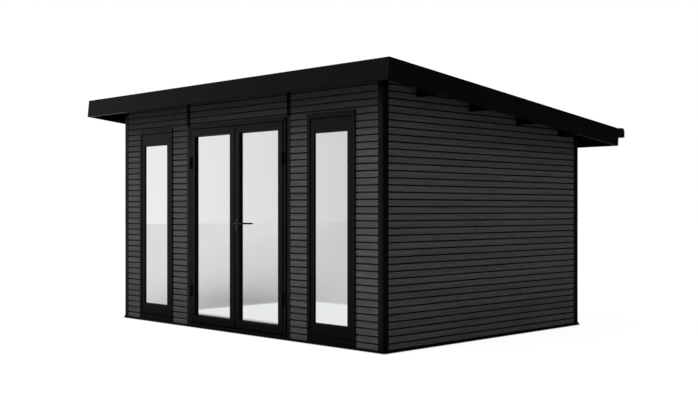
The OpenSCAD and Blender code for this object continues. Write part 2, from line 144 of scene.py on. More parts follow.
def loft(rings):
    """A solid through rings of points (ring, point, xyz), capped at its two ends."""
    rings = np.asarray(rings, float)
    count, around = rings.shape[:2]
    faces = ring_faces(count, around)
    faces.append(list(range(around))[::-1])
    faces.append(list(range((count - 1) * around, count * around)))
    return rings.reshape(-1, 3), faces


def block(low, high):
    """A box as a loft from its bottom rectangle to its top one."""
    (x0, y0, z0), (x1, y1, z1) = low, high
    ring = np.array([[x0, y0], [x1, y0], [x1, y1], [x0, y1]])
    bottom = np.column_stack([ring, np.full(4, z0)])
    top = np.column_stack([ring, np.full(4, z1)])
    return loft([bottom, top])


def along(axis, outline, start, end):
    """An outline carried straight along an axis: its two coordinates are the other two axes in
    the order x, y, z."""
    outline = np.asarray(outline, float)
    return loft([np.insert(outline, axis, place, axis=1) for place in (start, end)])


# %% Rounded outlines, and shapes put together


CUTS_IN_EDGE = 2.2


def rounded(corner, cut, steps, length_of):
    """A closed outline with round corners. Each corner c becomes the parabola
    (1-t)^2 a + 2t(1-t) c + t^2 b between a point a just before it and b just after it, both as
    far from c as the cut says, or less on an edge too short for two cuts."""
    ends = []
    for way in (np.roll(corner, 1, axis=0) - corner, np.roll(corner, -1, axis=0) - corner):
        length = length_of(way)[:, None]
        ends.append(corner + way / length * np.minimum(cut, length / CUTS_IN_EDGE))
    t = np.linspace(0.0, 1.0, steps + 1)[:, None, None]
    curve = (1 - t) ** 2 * ends[0] + 2 * t * (1 - t) * corner + t**2 * ends[1]
    return curve.transpose(1, 0, 2).reshape(-1, corner.shape[1])


def eased(outline, cut, steps=3):
    """A flat outline in metres, its corners rounded."""
    return rounded(np.asarray(outline, float), cut, steps, lambda way: np.linalg.norm(way, axis=1))


def join(shapes):
    """Several shapes as one: their points in a row, their faces renumbered to match."""
    points, faces, start = [], [], 0
    for part_points, part_faces in shapes:
        points.append(part_points)
        faces.extend([[start + i for i in face] for face in part_faces])
        start += len(part_points)
    return np.concatenate(points), faces


def placed(shape, change):
    """The same shape with its points put through a function."""
    return change(shape[0]), shape[1]


# %% [markdown]
# ## Mesh objects
# A shape becomes a mesh object at the origin, with its place in its points. Its faces are
# turned outward and shaded smooth, except across edges that are really sharp. A rounded edge is
# only a few faces wide, and smooth shading would let it bend the light on the broad face next
# to it, so each corner takes its shading from its largest face.

# %% Mesh objects


def face_outward(mesh):
    """Turns the faces of every closed shell in a mesh outward."""
    work = bmesh.new()
    work.from_mesh(mesh)
    bmesh.ops.recalc_face_normals(work, faces=work.faces)
    work.to_mesh(mesh)
    work.free()


SHARP_ANGLE = math.radians(35)
BEVEL_ANGLE = math.radians(40)


def smooth_but(mesh):
    """Shades a mesh smooth, but not across its sharp edges."""
    mesh.shade_smooth()
    mesh.set_sharp_from_angle(angle=SHARP_ANGLE)


def new_object(name, shape):
    """A mesh object at the origin, its faces outward, smooth but for its sharp edges."""
    points, faces = shape
    mesh = bpy.data.meshes.new(name)
    mesh.from_pydata(np.asarray(points).tolist(), [], faces)
    face_outward(mesh)
    smooth_but(mesh)
    made = bpy.data.objects.new(name, mesh)
    scene.collection.objects.link(made)
    return made


def add_bevel(made, width, segments=2):
    """Rounds every edge that turns by more than the bevel angle."""
    bevel = made.modifiers.new("eased_edges", "BEVEL")
    bevel.width = width
    bevel.segments = segments
    bevel.limit_method = "ANGLE"
    bevel.angle_limit = BEVEL_ANGLE
    bevel.harden_normals = True
    return made


def keep_flat(made):
    """Takes each corner's shading from its largest face, so that wide faces stay flat and only
    the narrow rounded ones turn the light."""
    weighted = made.modifiers.new("flat_faces", "WEIGHTED_NORMAL")
    weighted.keep_sharp = True
    weighted.weight = 100
    return made


# %% [markdown]
# ## Finished pieces
# Each visible piece is tied to the construction: it rides on the body that moves it, and the
# imported nodes that it stands for are hidden. Most pieces are made from a shape. Where a imported
# node already has all its detail, such as a hinge knuckle, it is copied with its edges eased,
# because a second drawing of it could only differ.

# %% Finished pieces


def finished(made, material, body="shed", stands_for=()):
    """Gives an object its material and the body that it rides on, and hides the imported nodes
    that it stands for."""
    made.data.materials.clear()
    made.data.materials.append(material)
    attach(made, body)
    if stands_for:
        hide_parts(*stands_for)
    print(made.name, len(made.data.polygons), "faces,", material.name)
    return made


def piece(name, shape, material, body="shed", stands_for=(), ease=0.0, segments=2):
    """Makes a shape into a finished piece, its edges eased where a width is given."""
    made = new_object(name, shape)
    if ease:
        add_bevel(made, ease, segments)
    else:
        keep_flat(made)
    return finished(made, material, body, stands_for)


SAME_POINT, SAME_PLANE = 0.01 * MM, math.radians(1.0)


def eased_copy(name, node, material, body="shed", ease=1.0 * MM, segments=2):
    """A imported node's own shape as a finished piece: its triangles joined into whole faces, its
    edges eased. The node's mesh itself is left alone."""
    work = bmesh.new()
    work.from_mesh(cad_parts[node].data)
    bmesh.ops.remove_doubles(work, verts=work.verts, dist=SAME_POINT)
    bmesh.ops.dissolve_limit(work, angle_limit=SAME_PLANE, verts=work.verts, edges=work.edges)
    mesh = bpy.data.meshes.new(name)
    work.to_mesh(mesh)
    work.free()
    smooth_but(mesh)
    made = bpy.data.objects.new(name, mesh)
    scene.collection.objects.link(made)
    add_bevel(made, ease, segments)
    return finished(made, material, body, [node])


# %% [markdown]
# ## Finishes
# A finish is a Principled shader whose colour, roughness and bump come from noise in object
# coordinates, in metres. An image would stretch or repeat over a wall four metres long, and
# noise has no edge. A small class keeps the wiring short, because every finish is wired in the
# same few ways.

# %% Material helpers


class Finish:
    """A material under construction: a Principled shader and short ways to wire nodes to it."""

    def __init__(self, name, colour, roughness, specular=0.5, metallic=0.0):
        print("finish", name)
        self.material = bpy.data.materials.new(name)
        self.material.use_nodes = True
        self.tree = self.material.node_tree
        self.shader = self.tree.nodes["Principled BSDF"]
        self.set("Base Color", (*colour, 1.0))
        self.set("Roughness", roughness)
        self.set("Specular IOR Level", specular)
        self.set("Metallic", metallic)
        self.place = self.node("ShaderNodeTexCoord").outputs["Object"]

    def set(self, socket, value):
        self.shader.inputs[socket].default_value = value

    def node(self, kind, **settings):
        """A new node with its settings."""
        made = self.tree.nodes.new(kind)
        for key, value in settings.items():
            setattr(made, key, value)
        return made

    def wire(self, value, socket):
        """Joins a socket to a socket, or writes a number into one."""
        if isinstance(value, bpy.types.NodeSocket):
            self.tree.links.new(value, socket)
        else:
            socket.default_value = value

    def maths(self, operation, *values):
        """A sum, product or other operation on sockets and numbers."""
        made = self.node("ShaderNodeMath", operation=operation)
        for value, socket in zip(values, made.inputs):
            self.wire(value, socket)
        return made.outputs[0]

    def axes(self):
        """The three object coordinates as separate sockets."""
        apart = self.node("ShaderNodeSeparateXYZ")
        self.wire(self.place, apart.inputs[0])
        return apart.outputs

    def attribute(self, name):
        return self.node("ShaderNodeAttribute", attribute_name=name).outputs["Fac"]

    def stretched(self, scale):
        """Object coordinates multiplied by a scale for each axis, in cycles a metre."""
        made = self.node("ShaderNodeMapping")
        self.wire(self.place, made.inputs["Vector"])
        made.inputs["Scale"].default_value = scale
        return made.outputs["Vector"]

    def noise(self, vector, detail=3.0, roughness=0.5):
        """Noise from 0 to 1 at a place that is already in cycles."""
        made = self.node("ShaderNodeTexNoise")
        self.wire(vector, made.inputs["Vector"])
        made.inputs["Scale"].default_value = 1.0
        made.inputs["Detail"].default_value = detail
        made.inputs["Roughness"].default_value = roughness
        return made.outputs["Fac"]

    def between(self, factor, low, high, from_low=0.0, from_high=1.0):
        """A number that goes from low to high as the factor goes from one value to another."""
        made = self.node("ShaderNodeMapRange")
        self.wire(factor, made.inputs["Value"])
        made.inputs["From Min"].default_value = from_low
        made.inputs["From Max"].default_value = from_high
        made.inputs["To Min"].default_value = low
        made.inputs["To Max"].default_value = high
        return made.outputs["Result"]

    def tint(self, colour, amount):
        """A colour times a number that varies over the surface."""
        made = self.node("ShaderNodeVectorMath", operation="SCALE")
        self.wire(colour, made.inputs[0])
        self.wire(amount, made.inputs["Scale"])
        return made.outputs["Vector"]

    def blend(self, factor, first, second):
        """A colour between two others."""
        made = self.node("ShaderNodeMix", data_type="RGBA")
        self.wire(factor, made.inputs["Factor"])
        colours = [s for s in made.inputs if s.type == "RGBA"]
        for value, socket in zip((first, second), colours):
            self.wire(value if isinstance(value, bpy.types.NodeSocket) else (*value, 1.0), socket)
        return [s for s in made.outputs if s.type == "RGBA"][0]

    def bump(self, height, distance, strength):
        """Tilts the surface's light as if it rose by the distance where the height is 1."""
        made = self.node("ShaderNodeBump")
        self.wire(height, made.inputs["Height"])
        made.inputs["Distance"].default_value = distance
        made.inputs["Strength"].default_value = strength
        self.tree.links.new(made.outputs["Normal"], self.shader.inputs["Normal"])

    def colour_from(self, socket):
        self.tree.links.new(socket, self.shader.inputs["Base Color"])

    def roughness_from(self, socket):
        self.tree.links.new(socket, self.shader.inputs["Roughness"])


# %% [markdown]
# ## Black coats and rubber
# Posts, frames, fascias, hinges and gutter are all black, but no two blacks are the same: paint,
# powder coat and moulded plastic differ in how dark they are and in how much they shine. They
# are nearly black themselves, so what is seen of them is a broad soft sheen from the bright side
# of the sky. A coat is given its colour, its roughness and its sheen. On some coats the sheen is
# dulled towards the ground and above the door heads. This is painted shade for the low light near
# the ground and under the eaves, so there it follows the height. An even sheen is set on the
# shader itself.

# %% Coated and moulded finishes
# The sheen's painted shade near the ground reaches up to this height.
SHEEN_SHADE_HEIGHT = 1.6
HEAD_TOP = box("door_head")[1][2]
HEAD_BLEND = 2 * MM
DRIFT_SCALE, FLECK_SCALE, SCUFF_SCALE = 1.3, 260.0, 90.0


def satin_coat(name, colour, roughness, specular, shade_at_ground=1.0, shade_over_head=1.0):
    """Sprayed satin paint: a faint orange-peel skin, and a tone that drifts a little. The last
    two arguments paint shade into the sheen: the share of it left at the ground, and the share
    left above the doors, under the eaves."""
    coat = Finish(name, colour, roughness, specular)
    # Painted shade: the sheen is dulled towards the ground and above the door heads.
    if shade_at_ground < 1.0 or shade_over_head < 1.0:
        height = coat.axes()["Z"]
        sheen = coat.between(height, shade_at_ground * specular, specular, 0.0, SHEEN_SHADE_HEIGHT)
        share = coat.between(height, 1.0, shade_over_head, HEAD_TOP, HEAD_TOP + HEAD_BLEND)
        coat.wire(coat.maths("MULTIPLY", sheen, share), coat.shader.inputs["Specular IOR Level"])
    drift = coat.noise(coat.stretched([DRIFT_SCALE] * 3), detail=2.0)
    fleck = coat.noise(coat.stretched([FLECK_SCALE] * 3), detail=2.0)
    amount = coat.maths("MULTIPLY", coat.between(drift, 0.86, 1.14), coat.between(fleck, 0.9, 1.1))
    coat.colour_from(coat.tint(colour, amount))
    coat.roughness_from(coat.between(drift, roughness - 0.06, roughness + 0.06))
    coat.bump(fleck, 0.12 * MM, 0.5)
    return coat.material


def rubber_finish(name, colour, roughness):
    """Soft black rubber: matt, with fine scuffs."""
    rubber = Finish(name, colour, roughness, 0.06)
    scuff = rubber.noise(rubber.stretched([SCUFF_SCALE] * 3), detail=4.0)
    rubber.colour_from(rubber.tint(colour, rubber.between(scuff, 0.7, 1.3)))
    rubber.roughness_from(rubber.between(scuff, roughness - 0.08, roughness + 0.08))
    rubber.bump(scuff, 0.1 * MM, 0.4)
    return rubber.material


# Where a coat has two more numbers, they paint shade into its sheen: the share left at the ground and above
# the door heads.
coat_post = satin_coat("satin_black_post", (0.0022, 0.0023, 0.0023), 0.42, 0.135, 0.9, 0.12)
# A darker, duller copy of the post coat for the corner posts: painted shade for their side faces, which
# stand in shade.
coat_corner_shaded = satin_coat("satin_black_corner_shaded", (0.0018, 0.0019, 0.0019), 0.42, 0.095)
coat_frame = satin_coat("satin_black_frame", (0.0022, 0.0022, 0.0022), 0.40, 0.103, 0.45)
coat_jamb = satin_coat("matt_black_jamb", (0.0065, 0.0065, 0.0065), 0.40, 0.045, 0.6)
coat_fascia = satin_coat("satin_black_fascia", (0.0046, 0.0046, 0.0046), 0.36, 0.034)
coat_steel = satin_coat("satin_black_steel", (0.0022, 0.0021, 0.0021), 0.5, 0.08)
coat_gutter = satin_coat("satin_black_gutter", (0.0022, 0.0022, 0.0022), 0.34, 0.13)
coat_hinge = satin_coat("matt_black_hinge", (0.0012, 0.0012, 0.0012), 0.48, 0.1)
coat_handle = satin_coat("satin_black_handle", (0.0020, 0.0020, 0.0020), 0.26, 0.3)
black_rubber = rubber_finish("black_glazing_rubber", (0.0012, 0.0012, 0.0012), 0.62)
spacer_black = rubber_finish("warm_edge_spacer", (0.004, 0.004, 0.004), 0.5)

# %% [markdown]
# ## Timber
# Softwood shows growth rings and fine fibres along the grain, and each board has its own tone.
# A picture of wood would repeat from board to board, so the rings are a noise stretched along
# the grain and folded into bands by a sine, and every board reads another part of it. The
# purlins and the roof boards have a black stain, under which only broad, faint bands are left.

# %% Timber finishes
RINGS_ALONG, RINGS_ACROSS, RING_FOLDS = 1.4, 26.0, 46.0
FIBRES_ALONG, FIBRES_ACROSS, WOOD_SHIFT = 5.0, 18.0, 91.0


def timber_finish(name, early, late, roughness, grain_axis, board_axis, specular=0.3, grain=1.0):
    """Sawn or planed softwood. A ring's shade is half of 1 + sin(folds noise(x, y, shift tone)),
    with x along the grain and y across it, and the shade goes from the early wood's colour to
    the late wood's. grain below 1 spreads the pattern out."""
    wood = Finish(name, early, roughness, specular)
    tone = wood.attribute("board_tone")
    apart = wood.axes()
    length = wood.maths("MULTIPLY", apart[grain_axis], RINGS_ALONG * grain)
    width = wood.maths("MULTIPLY", apart[board_axis], RINGS_ACROSS * grain)
    vector = wood.node("ShaderNodeCombineXYZ")
    wood.wire(length, vector.inputs["X"])
    wood.wire(width, vector.inputs["Y"])
    wood.wire(wood.maths("MULTIPLY", tone, WOOD_SHIFT), vector.inputs["Z"])
    flow = wood.noise(vector.outputs[0], detail=2.5, roughness=0.55)
    rings = wood.maths("SINE", wood.maths("MULTIPLY", flow, RING_FOLDS))
    rings = wood.between(rings, 0.0, 1.0, -1.0, 1.0)
    fine = wood.node("ShaderNodeCombineXYZ")
    wood.wire(wood.maths("MULTIPLY", length, FIBRES_ALONG), fine.inputs["X"])
    wood.wire(wood.maths("MULTIPLY", width, FIBRES_ACROSS), fine.inputs["Y"])
    wood.wire(tone, fine.inputs["Z"])
    fibre = wood.noise(fine.outputs[0], detail=3.0, roughness=0.6)
    amount = wood.maths("MULTIPLY", wood.between(fibre, 0.8, 1.2), wood.between(tone, 0.88, 1.12))
    wood.colour_from(wood.tint(wood.blend(rings, early, late), amount))
    wood.roughness_from(wood.between(fibre, roughness - 0.07, roughness + 0.07))
    wood.bump(fibre, 0.25 * MM, 0.6)
    return wood.material


X_AXIS, Y_AXIS, Z_AXIS = 0, 1, 2
floor_timber = timber_finish(
    "planed_floor_timber", (0.56, 0.40, 0.22), (0.40, 0.25, 0.12), 0.5, X_AXIS, Y_AXIS)
bearer_timber = timber_finish(
    "treated_bearer_timber", (0.30, 0.26, 0.14), (0.20, 0.17, 0.09), 0.75, Y_AXIS, X_AXIS)
purlin_timber = timber_finish(
    "stained_purlin_timber", (0.0032, 0.0031, 0.0030), (0.0018, 0.0018, 0.0017), 0.6, X_AXIS, Z_AXIS, 0.08)
deck_timber = timber_finish(
    "stained_deck_timber", (0.0034, 0.0033, 0.0032), (0.0020, 0.0020, 0.0019), 0.6, Y_AXIS, X_AXIS, 0.08)

# %% [markdown]
# ## Brushed composite boards
# The boards are extruded composite, brushed along their length. Each one takes a slightly
# different tone from the extruder. Painted shade darkens the colour down in the grooves, a little
# on the lowest boards, and more on the boards just under the eaves.
# The brush lines are a noise stretched very long along the board and squeezed across it.

# %% Board finish
BOARD_COLOUR = (0.0822, 0.0892, 0.0862)
# Painted shade: near the ground, under the eaves, and in the grooves.
FOOT_SHADE, FOOT_SHADE_HEIGHT = 0.85, 0.6
EAVES_SHADE, EAVES_SHADE_REACH = 0.74, 0.26
GROOVE_SHADE, BOARD_SHIFT = 0.06, 37.0


def board_finish():
    """The board colour times one share after another: each board's own tone, from board_tone;
    brush lines, streaks, dabs and patches, which are noises stretched along the board; painted
    shade, which darkens the lowest boards a little; painted shade of the eaves on the boards just
    under the roof; and painted shade down in the grooves. Scales are in cycles a metre."""
    finish = Finish("brushed_composite", BOARD_COLOUR, 0.72, 0.25)
    apart = finish.axes()
    lengthwise = finish.maths("ADD", apart["X"], apart["Y"])
    tone = finish.attribute("board_tone")

    def lines(along_scale, across_scale, detail):
        vector = finish.node("ShaderNodeCombineXYZ")
        finish.wire(finish.maths("MULTIPLY", lengthwise, along_scale), vector.inputs["X"])
        finish.wire(finish.maths("MULTIPLY", apart["Z"], across_scale), vector.inputs["Y"])
        finish.wire(finish.maths("MULTIPLY", tone, BOARD_SHIFT), vector.inputs["Z"])
        return finish.noise(vector.outputs[0], detail=detail, roughness=0.65)

    brushed = lines(2.6, 330.0, 4.0)
    streaks = lines(1.5, 64.0, 3.0)
    dabs = lines(9.0, 80.0, 3.0)
    patches = lines(5.0, 9.0, 2.0)
    roof_slope = roof_z(1.0, DECK_N) - roof_z(0.0, DECK_N)
    roof_over = finish.maths("MULTIPLY_ADD", apart["Y"], roof_slope, roof_z(0.0, DECK_N))
    below_roof = finish.maths("SUBTRACT", roof_over, apart["Z"])
    amount = finish.between(tone, 0.93, 1.07)
    for share in (
        finish.between(brushed, 0.74, 1.26),
        finish.between(streaks, 0.72, 1.28, 0.25, 0.75),
        finish.between(dabs, 0.5, 1.5),
        finish.between(patches, 0.93, 1.07),
        # Painted shade near the ground, under the eaves and in the grooves.
        finish.between(apart["Z"], FOOT_SHADE, 1.0, 0.0, FOOT_SHADE_HEIGHT),
        finish.between(below_roof, EAVES_SHADE, 1.0, 0.0, EAVES_SHADE_REACH),
        finish.between(finish.attribute("groove"), 1.0, GROOVE_SHADE),
    ):
        amount = finish.maths("MULTIPLY", amount, share)
    finish.colour_from(finish.tint(BOARD_COLOUR, amount))
    finish.roughness_from(finish.between(brushed, 0.62, 0.84))
    finish.bump(brushed, 0.35 * MM, 0.7)
    return finish.material


boards_dark = board_finish()

# %% [markdown]
# ## Boarded walls
# Each wall is a stack of interlocking boards, just under 62 mm from one to the next. Between
# two boards a groove runs along the wall on both faces. A bump map could draw the grooves, but
# it would leave a straight outline at the corners and no real shadow under each board. So one
# board is a loft of level rectangles: going up, its faces stand back in the groove, come
# forward round the shoulder, and run flat up to the next groove.

# %% Board profile
BOARD_PITCH, FIRST_GROOVE = 61.55 * MM, 72.5 * MM
STACK_FOOT = FIRST_GROOVE - BOARD_PITCH
GROOVE_HALF = 6.3 * MM
GROOVE_DEPTH = 10.0 * MM
SHOULDER = 2.0 * MM
HAIRLINE = 0.1 * MM


def board_profile():
    """Heights above a board's foot, and how far its faces stand back at each. The shoulder is
    a quarter circle, so its setback is r - sqrt(r^2 - d^2) at a distance d from its top."""
    turn = np.linspace(0.0, math.pi / 2, 5)
    rise = SHOULDER * (1 - np.cos(turn))
    back = SHOULDER * (1 - np.sin(turn))
    heights = np.concatenate([[HAIRLINE, GROOVE_HALF - HAIRLINE], GROOVE_HALF + rise])
    setbacks = np.concatenate([[GROOVE_DEPTH, GROOVE_DEPTH], back])
    return (
        np.concatenate([heights, BOARD_PITCH - heights[::-1]]),
        np.concatenate([setbacks, setbacks[::-1]]),
    )


def board_stack(axis, start, end, outer, inner, top):
    """Boards from below the base up to the top or over it. axis is 0 for boards along x and 1
    along y; outer and inner are the wall's two faces on the other axis."""
    heights, setbacks = board_profile()
    inward = math.copysign(1.0, inner - outer)
    rows = math.ceil((top - STACK_FOOT) / BOARD_PITCH)
    face, back = outer + inward * setbacks, inner - inward * setbacks
    ring = np.empty((len(heights), 4, 3))
    ring[..., axis] = np.array([start, end, end, start])
    ring[..., 1 - axis] = np.stack([face, face, back, back], axis=1)
    ring[..., 2] = heights[:, None]
    lifts = STACK_FOOT + BOARD_PITCH * np.arange(rows)
    return join([loft(ring + [0.0, 0.0, lift]) for lift in lifts])


print(round(BOARD_PITCH / MM, 2), "mm a board,", len(board_profile()[0]), "levels in its loft")

# %% [markdown]
# ## Sawing, and marks for the finish
# A real wall is laid board by board and then trimmed to the roof and the openings. Here the
# stack is built too tall and is cut by solids with the Boolean modifier, so that the grooves run
# out at a cut as they do on the real wall. The cut mesh is kept and the saws are thrown away.
# Two numbers are written on its faces for the finish to read: board_tone and groove.

# %% Saw and marks


def sawn(name, shape, cuts):
    """The shape with each cut taken away from it, as a new mesh."""
    made = new_object(name, shape)
    tools = [new_object("saw", cut) for cut in cuts]
    for tool in tools:
        saw = made.modifiers.new("saw", "BOOLEAN")
        saw.object = tool
        saw.operation = "DIFFERENCE"
        saw.solver = "MANIFOLD"
    bpy.context.view_layer.update()
    result = bpy.data.meshes.new_from_object(made.evaluated_get(bpy.context.evaluated_depsgraph_get()))
    made.modifiers.clear()
    result.materials.clear()
    made.data = result
    for tool in tools:
        bpy.data.objects.remove(tool)
    return made


def face_centres(mesh):
    """The middle of every face, as an array."""
    centres = np.empty(len(mesh.polygons) * 3)
    mesh.polygons.foreach_get("center", centres)
    return centres.reshape(-1, 3)


def write_faces(mesh, name, values):
    """One number for each face, under a name that a material can read."""
    attribute = mesh.attributes.new(name, "FLOAT", "FACE")
    attribute.data.foreach_set("value", np.asarray(values, np.float32))


TONES = 96


def mark_tone(made, places, first, pitch, seed):
    """board_tone: a seeded random number for each board, found from where along the row of
    boards each face lies."""
    tones = np.random.default_rng(seed).random(TONES)
    board = np.clip((places - first) // pitch, 0, TONES - 1).astype(int)
    write_faces(made.data, "board_tone", tones[board])


IN_GROOVE = 0.7 * SHOULDER


def mark_groove(made, axis, outer, inner):
    """groove: 1 on faces whose middle lies this deep behind both of the wall's faces, else 0."""
    across = face_centres(made.data)[:, 1 - axis]
    depth = np.minimum(np.abs(across - outer), np.abs(across - inner))
    write_faces(made.data, "groove", depth > IN_GROOVE)


# %% Saws at the base, under the roof and round the purlins
PURLIN_W, PURLIN_LIFT = 45 * MM, 20 * MM
PURLIN_FIRST, PURLIN_STEP, PURLINS = 721 * MM, 745 * MM, 4
SAW_FIT = 0.3 * MM
purlin_s = PURLIN_FIRST + PURLIN_STEP * np.arange(PURLINS)
BEYOND, UNDER_DECK, OVER_PURLIN = 3.0, 0.2 * MM, 0.01
ROOF_SAW_S, ROOF_SAW_T, FOOT_SAW_T = (-0.2, 4.5), 0.5, 0.2
roof_saw_low = (-BEYOND, ROOF_SAW_S[0], DECK_N - UNDER_DECK)
roof_saw_high = (BEYOND, ROOF_SAW_S[1], DECK_N + ROOF_SAW_T)
roof_saw = placed(block(roof_saw_low, roof_saw_high), on_roof)
foot_saw = block((-BEYOND, -BEYOND, -FOOT_SAW_T), (BEYOND, BEYOND, base_high[2]))
purlin_saws = []
for s in purlin_s:
    slot_low = (-BEYOND, s - SAW_FIT, PURLIN_LIFT - SAW_FIT)
    slot_high = (BEYOND, s + PURLIN_W + SAW_FIT, DECK_N + OVER_PURLIN)
    purlin_saws.append(placed(block(slot_low, slot_high), on_roof))
print("purlins at", np.round(purlin_s, 3), "m down the slope")

# %% [markdown]
# ## The walls
# Six walls come from one function: two side walls, the back wall, and the front wall in three
# parts. At the front, where boards end at a post, a thin rubber bead seals the joint; it is set
# back from the faces, so that it shows as a fine dark line. The joints aren't equally wide, so
# each bead has its own width.

# %% Wall and joint bead
BEAD, BEAD_BACK = 4.0 * MM, 1.5 * MM
STACK_OVER = 20 * MM


def seal_joint(name, axis, near, far, faces, top):
    """A rubber bead between a wall's end and its post, from near to far along the wall."""
    low = np.array([near + HAIRLINE, min(faces) + BEAD_BACK, 0.0])
    high = np.array([far - HAIRLINE, max(faces) - BEAD_BACK, top])
    if axis == 1:
        low, high = low[[1, 0, 2]], high[[1, 0, 2]]
    finished(sawn(name, block(low, high), [foot_saw, roof_saw]), black_rubber)


def wall(name, axis, span, faces, cuts, seed, stands_for, beads=(0.0, 0.0)):
    """A finished wall of boards between two ends, sawn off at the base and under the roof. Its
    faces are the outer one and the inner one. At an end that has a bead, the boards stop short
    of the post by the bead's width."""
    outer, inner = faces
    start, end = span[0] + beads[0], span[1] - beads[1]
    highest = roof_z(min(faces) if axis == 0 else span[0], DECK_N)
    stack = board_stack(axis, start, end, outer, inner, highest + STACK_OVER)
    made = sawn(name, stack, [foot_saw, roof_saw, *cuts])
    if beads[0]:
        seal_joint(f"{name}_bead_first", axis, span[0], start, faces, highest)
    if beads[1]:
        seal_joint(f"{name}_bead_last", axis, end, span[1], faces, highest)
    mark_tone(made, face_centres(made.data)[:, 2], STACK_FOOT, BOARD_PITCH, seed)
    mark_groove(made, axis, outer, inner)
    smooth_but(made.data)
    return finished(keep_flat(made), boards_dark, "shed", stands_for)


# %% The walls
CLEAR = 0.1
THROUGH = np.array([0.0, CLEAR, 0.0])
BELOW = np.array([0.0, 0.0, 0.05])
FRONT_SEED, SIDE_SEED, BACK_SEED, HEAD_SEED = 10, 12, 14, 15
front_beads = {"left": (BEAD, BEAD), "right": (0.0, 0.5 * BEAD)}
side_beads = (0.75 * BEAD, 0.0)
for k, side in enumerate(("left", "right")):
    low, high = box(f"front_wall_{side}")
    window_low, window_high = box(f"{side}_window_frame")
    window_cut = block(window_low - THROUGH - BELOW, window_high + THROUGH)
    wall(f"{side}_front_boards", 0, (low[0], high[0]), (low[1], high[1]), [window_cut],
         FRONT_SEED + k, [f"front_wall_{side}"], front_beads[side])
    low, high = box(f"{side}_wall")
    faces = (low[0], high[0]) if side == "left" else (high[0], low[0])
    wall(f"{side}_side_boards", 1, (low[1], high[1]), faces, purlin_saws,
         SIDE_SEED + k, [f"{side}_wall", f"{side}_gable_infill"], side_beads)
low, high = box("back_wall")
wall("back_boards", 0, (low[0], high[0]), (high[1], low[1]), [], BACK_SEED, ["back_wall"])
low, high = box("front_wall_over_door")
head_cut = block((low[0] - CLEAR, low[1] - CLEAR, -CLEAR), (high[0] + CLEAR, high[1] + CLEAR, low[2]))
wall("boards_over_door", 0, (low[0], high[0]), (low[1], high[1]), [head_cut], HEAD_SEED,
     ["front_wall_over_door"])

# %% [markdown]
# ## Frames and glazed units
# Window frames, sashes and door leaves are four members cut from one moulded section and
# welded at mitred corners. A section is a list of rows (share, extra, y): a point lies that
# share of the way from the frame's outer edge to its inner edge, plus the extra, at depth y.
# So one section fits rails and stiles of different widths, and the mitres always meet. Four
# plain bars would be easier, but their ends would overlap and show no mitre at the corners.
# The section's lip slopes in towards the glass, and the glass stands in a groove behind it.

# %% Mitred frames
MITRE_GAP = 0.12 * MM


def softened(section, width, cut, steps=3):
    """The section with its corners rounded. A step's length is the hypotenuse of
    share * width + extra and y, for a member of the given width; the share is blended too."""
    return rounded(np.asarray(section, float), cut, steps,
                   lambda way: np.hypot(way[:, 0] * width + way[:, 1], way[:, 2]))


def mitred(outer, inner, section):
    """Four members round a rectangle in the x-z plane. outer and inner are (x0, z0, x1, z1).
    At each corner the section is spread along the mitre; a member runs from one corner's
    section to the next one's, less a hairline gap at each end."""
    share, extra, y = np.asarray(section, float).T
    corners, members = [], []
    for x_end, z_end in ((0, 1), (2, 1), (2, 3), (0, 3)):
        into_x = 1.0 if x_end == 0 else -1.0
        into_z = 1.0 if z_end == 1 else -1.0
        x = outer[x_end] + share * (inner[x_end] - outer[x_end]) + into_x * extra
        z = outer[z_end] + share * (inner[z_end] - outer[z_end]) + into_z * extra
        corners.append(np.column_stack([x, y, z]))
    for k, way in enumerate(([1, 0, 0], [0, 0, 1], [-1, 0, 0], [0, 0, -1])):
        gap = np.array(way, float) * MITRE_GAP
        members.append(loft([corners[k] + gap, corners[(k + 1) % 4] - gap]))
    return join(members)


def rim(low, high, inset=0.0):
    """The rectangle (x0, z0, x1, z1) of a box, drawn in on all sides."""
    return low[0] + inset, low[2] + inset, high[0] - inset, high[2] - inset


# %% [markdown]
# ## Glass
# The glass is in sealed double panes: an outer pane of sun-control glass, which mirrors what is
# in front of it and almost hides the inside, a dark spacer bar, and a clear inner pane. One
# thick slab would have a plain edge and one reflection. Two thin panes with the bar between them
# look like the real unit from the side too. A mirror that still lets some light through is a
# glass shader that is mostly metallic.

# %% Mirrored glass, in sealed double panes


def glass_finish(name, colour, metallic):
    """Clear glass; with some metal, sun-control glass, whose thin coat mirrors most of what is
    in front of it and lets the rest through."""
    glass = Finish(name, colour, 0.0, 0.5, metallic)
    glass.set("IOR", 1.5)
    glass.set("Transmission Weight", 1.0)
    return glass.material


mirrored_glass = glass_finish("mirrored_glass", (0.93, 0.95, 0.95), 0.88)
clear_glass = glass_finish("clear_glass", (0.97, 0.985, 0.98), 0.0)
PANE_T, PANE_EASE = 4 * MM, 0.4 * MM
SPACER_IN, SPACER_W = 2 * MM, 7 * MM


def double_pane(prefix, node, body):
    """Two panes and the spacer bar between them, in the glass's packed box."""
    low, high = box(node)
    outer_high = np.array([high[0], low[1] + PANE_T, high[2]])
    inner_low = np.array([low[0], high[1] - PANE_T, low[2]])
    piece(f"{prefix}_outer_pane", block(low, outer_high), mirrored_glass, body, [node],
          PANE_EASE, 1)
    piece(f"{prefix}_inner_pane", block(inner_low, high), clear_glass, body, (), PANE_EASE, 1)
    y0, y1 = low[1] + PANE_T + HAIRLINE, high[1] - PANE_T - HAIRLINE
    bar = [(0, 0, y0), (1, 0, y0), (1, 0, y1), (0, 0, y1)]
    outer, inner = rim(low, high, SPACER_IN), rim(low, high, SPACER_IN + SPACER_W)
    piece(f"{prefix}_spacer", mitred(outer, inner, bar), spacer_black, body)


# %% [markdown]
# ## Sashes and door leaves
# A fixed sash and a door leaf are built alike, so one function makes both. Each is a mitred
# frame with its panes and a rubber gasket, which lies on the glass and stands out a little
# beyond the lip. The lips lie over the glass by slightly different amounts at the left, foot,
# right and head, and four trims say by how much.

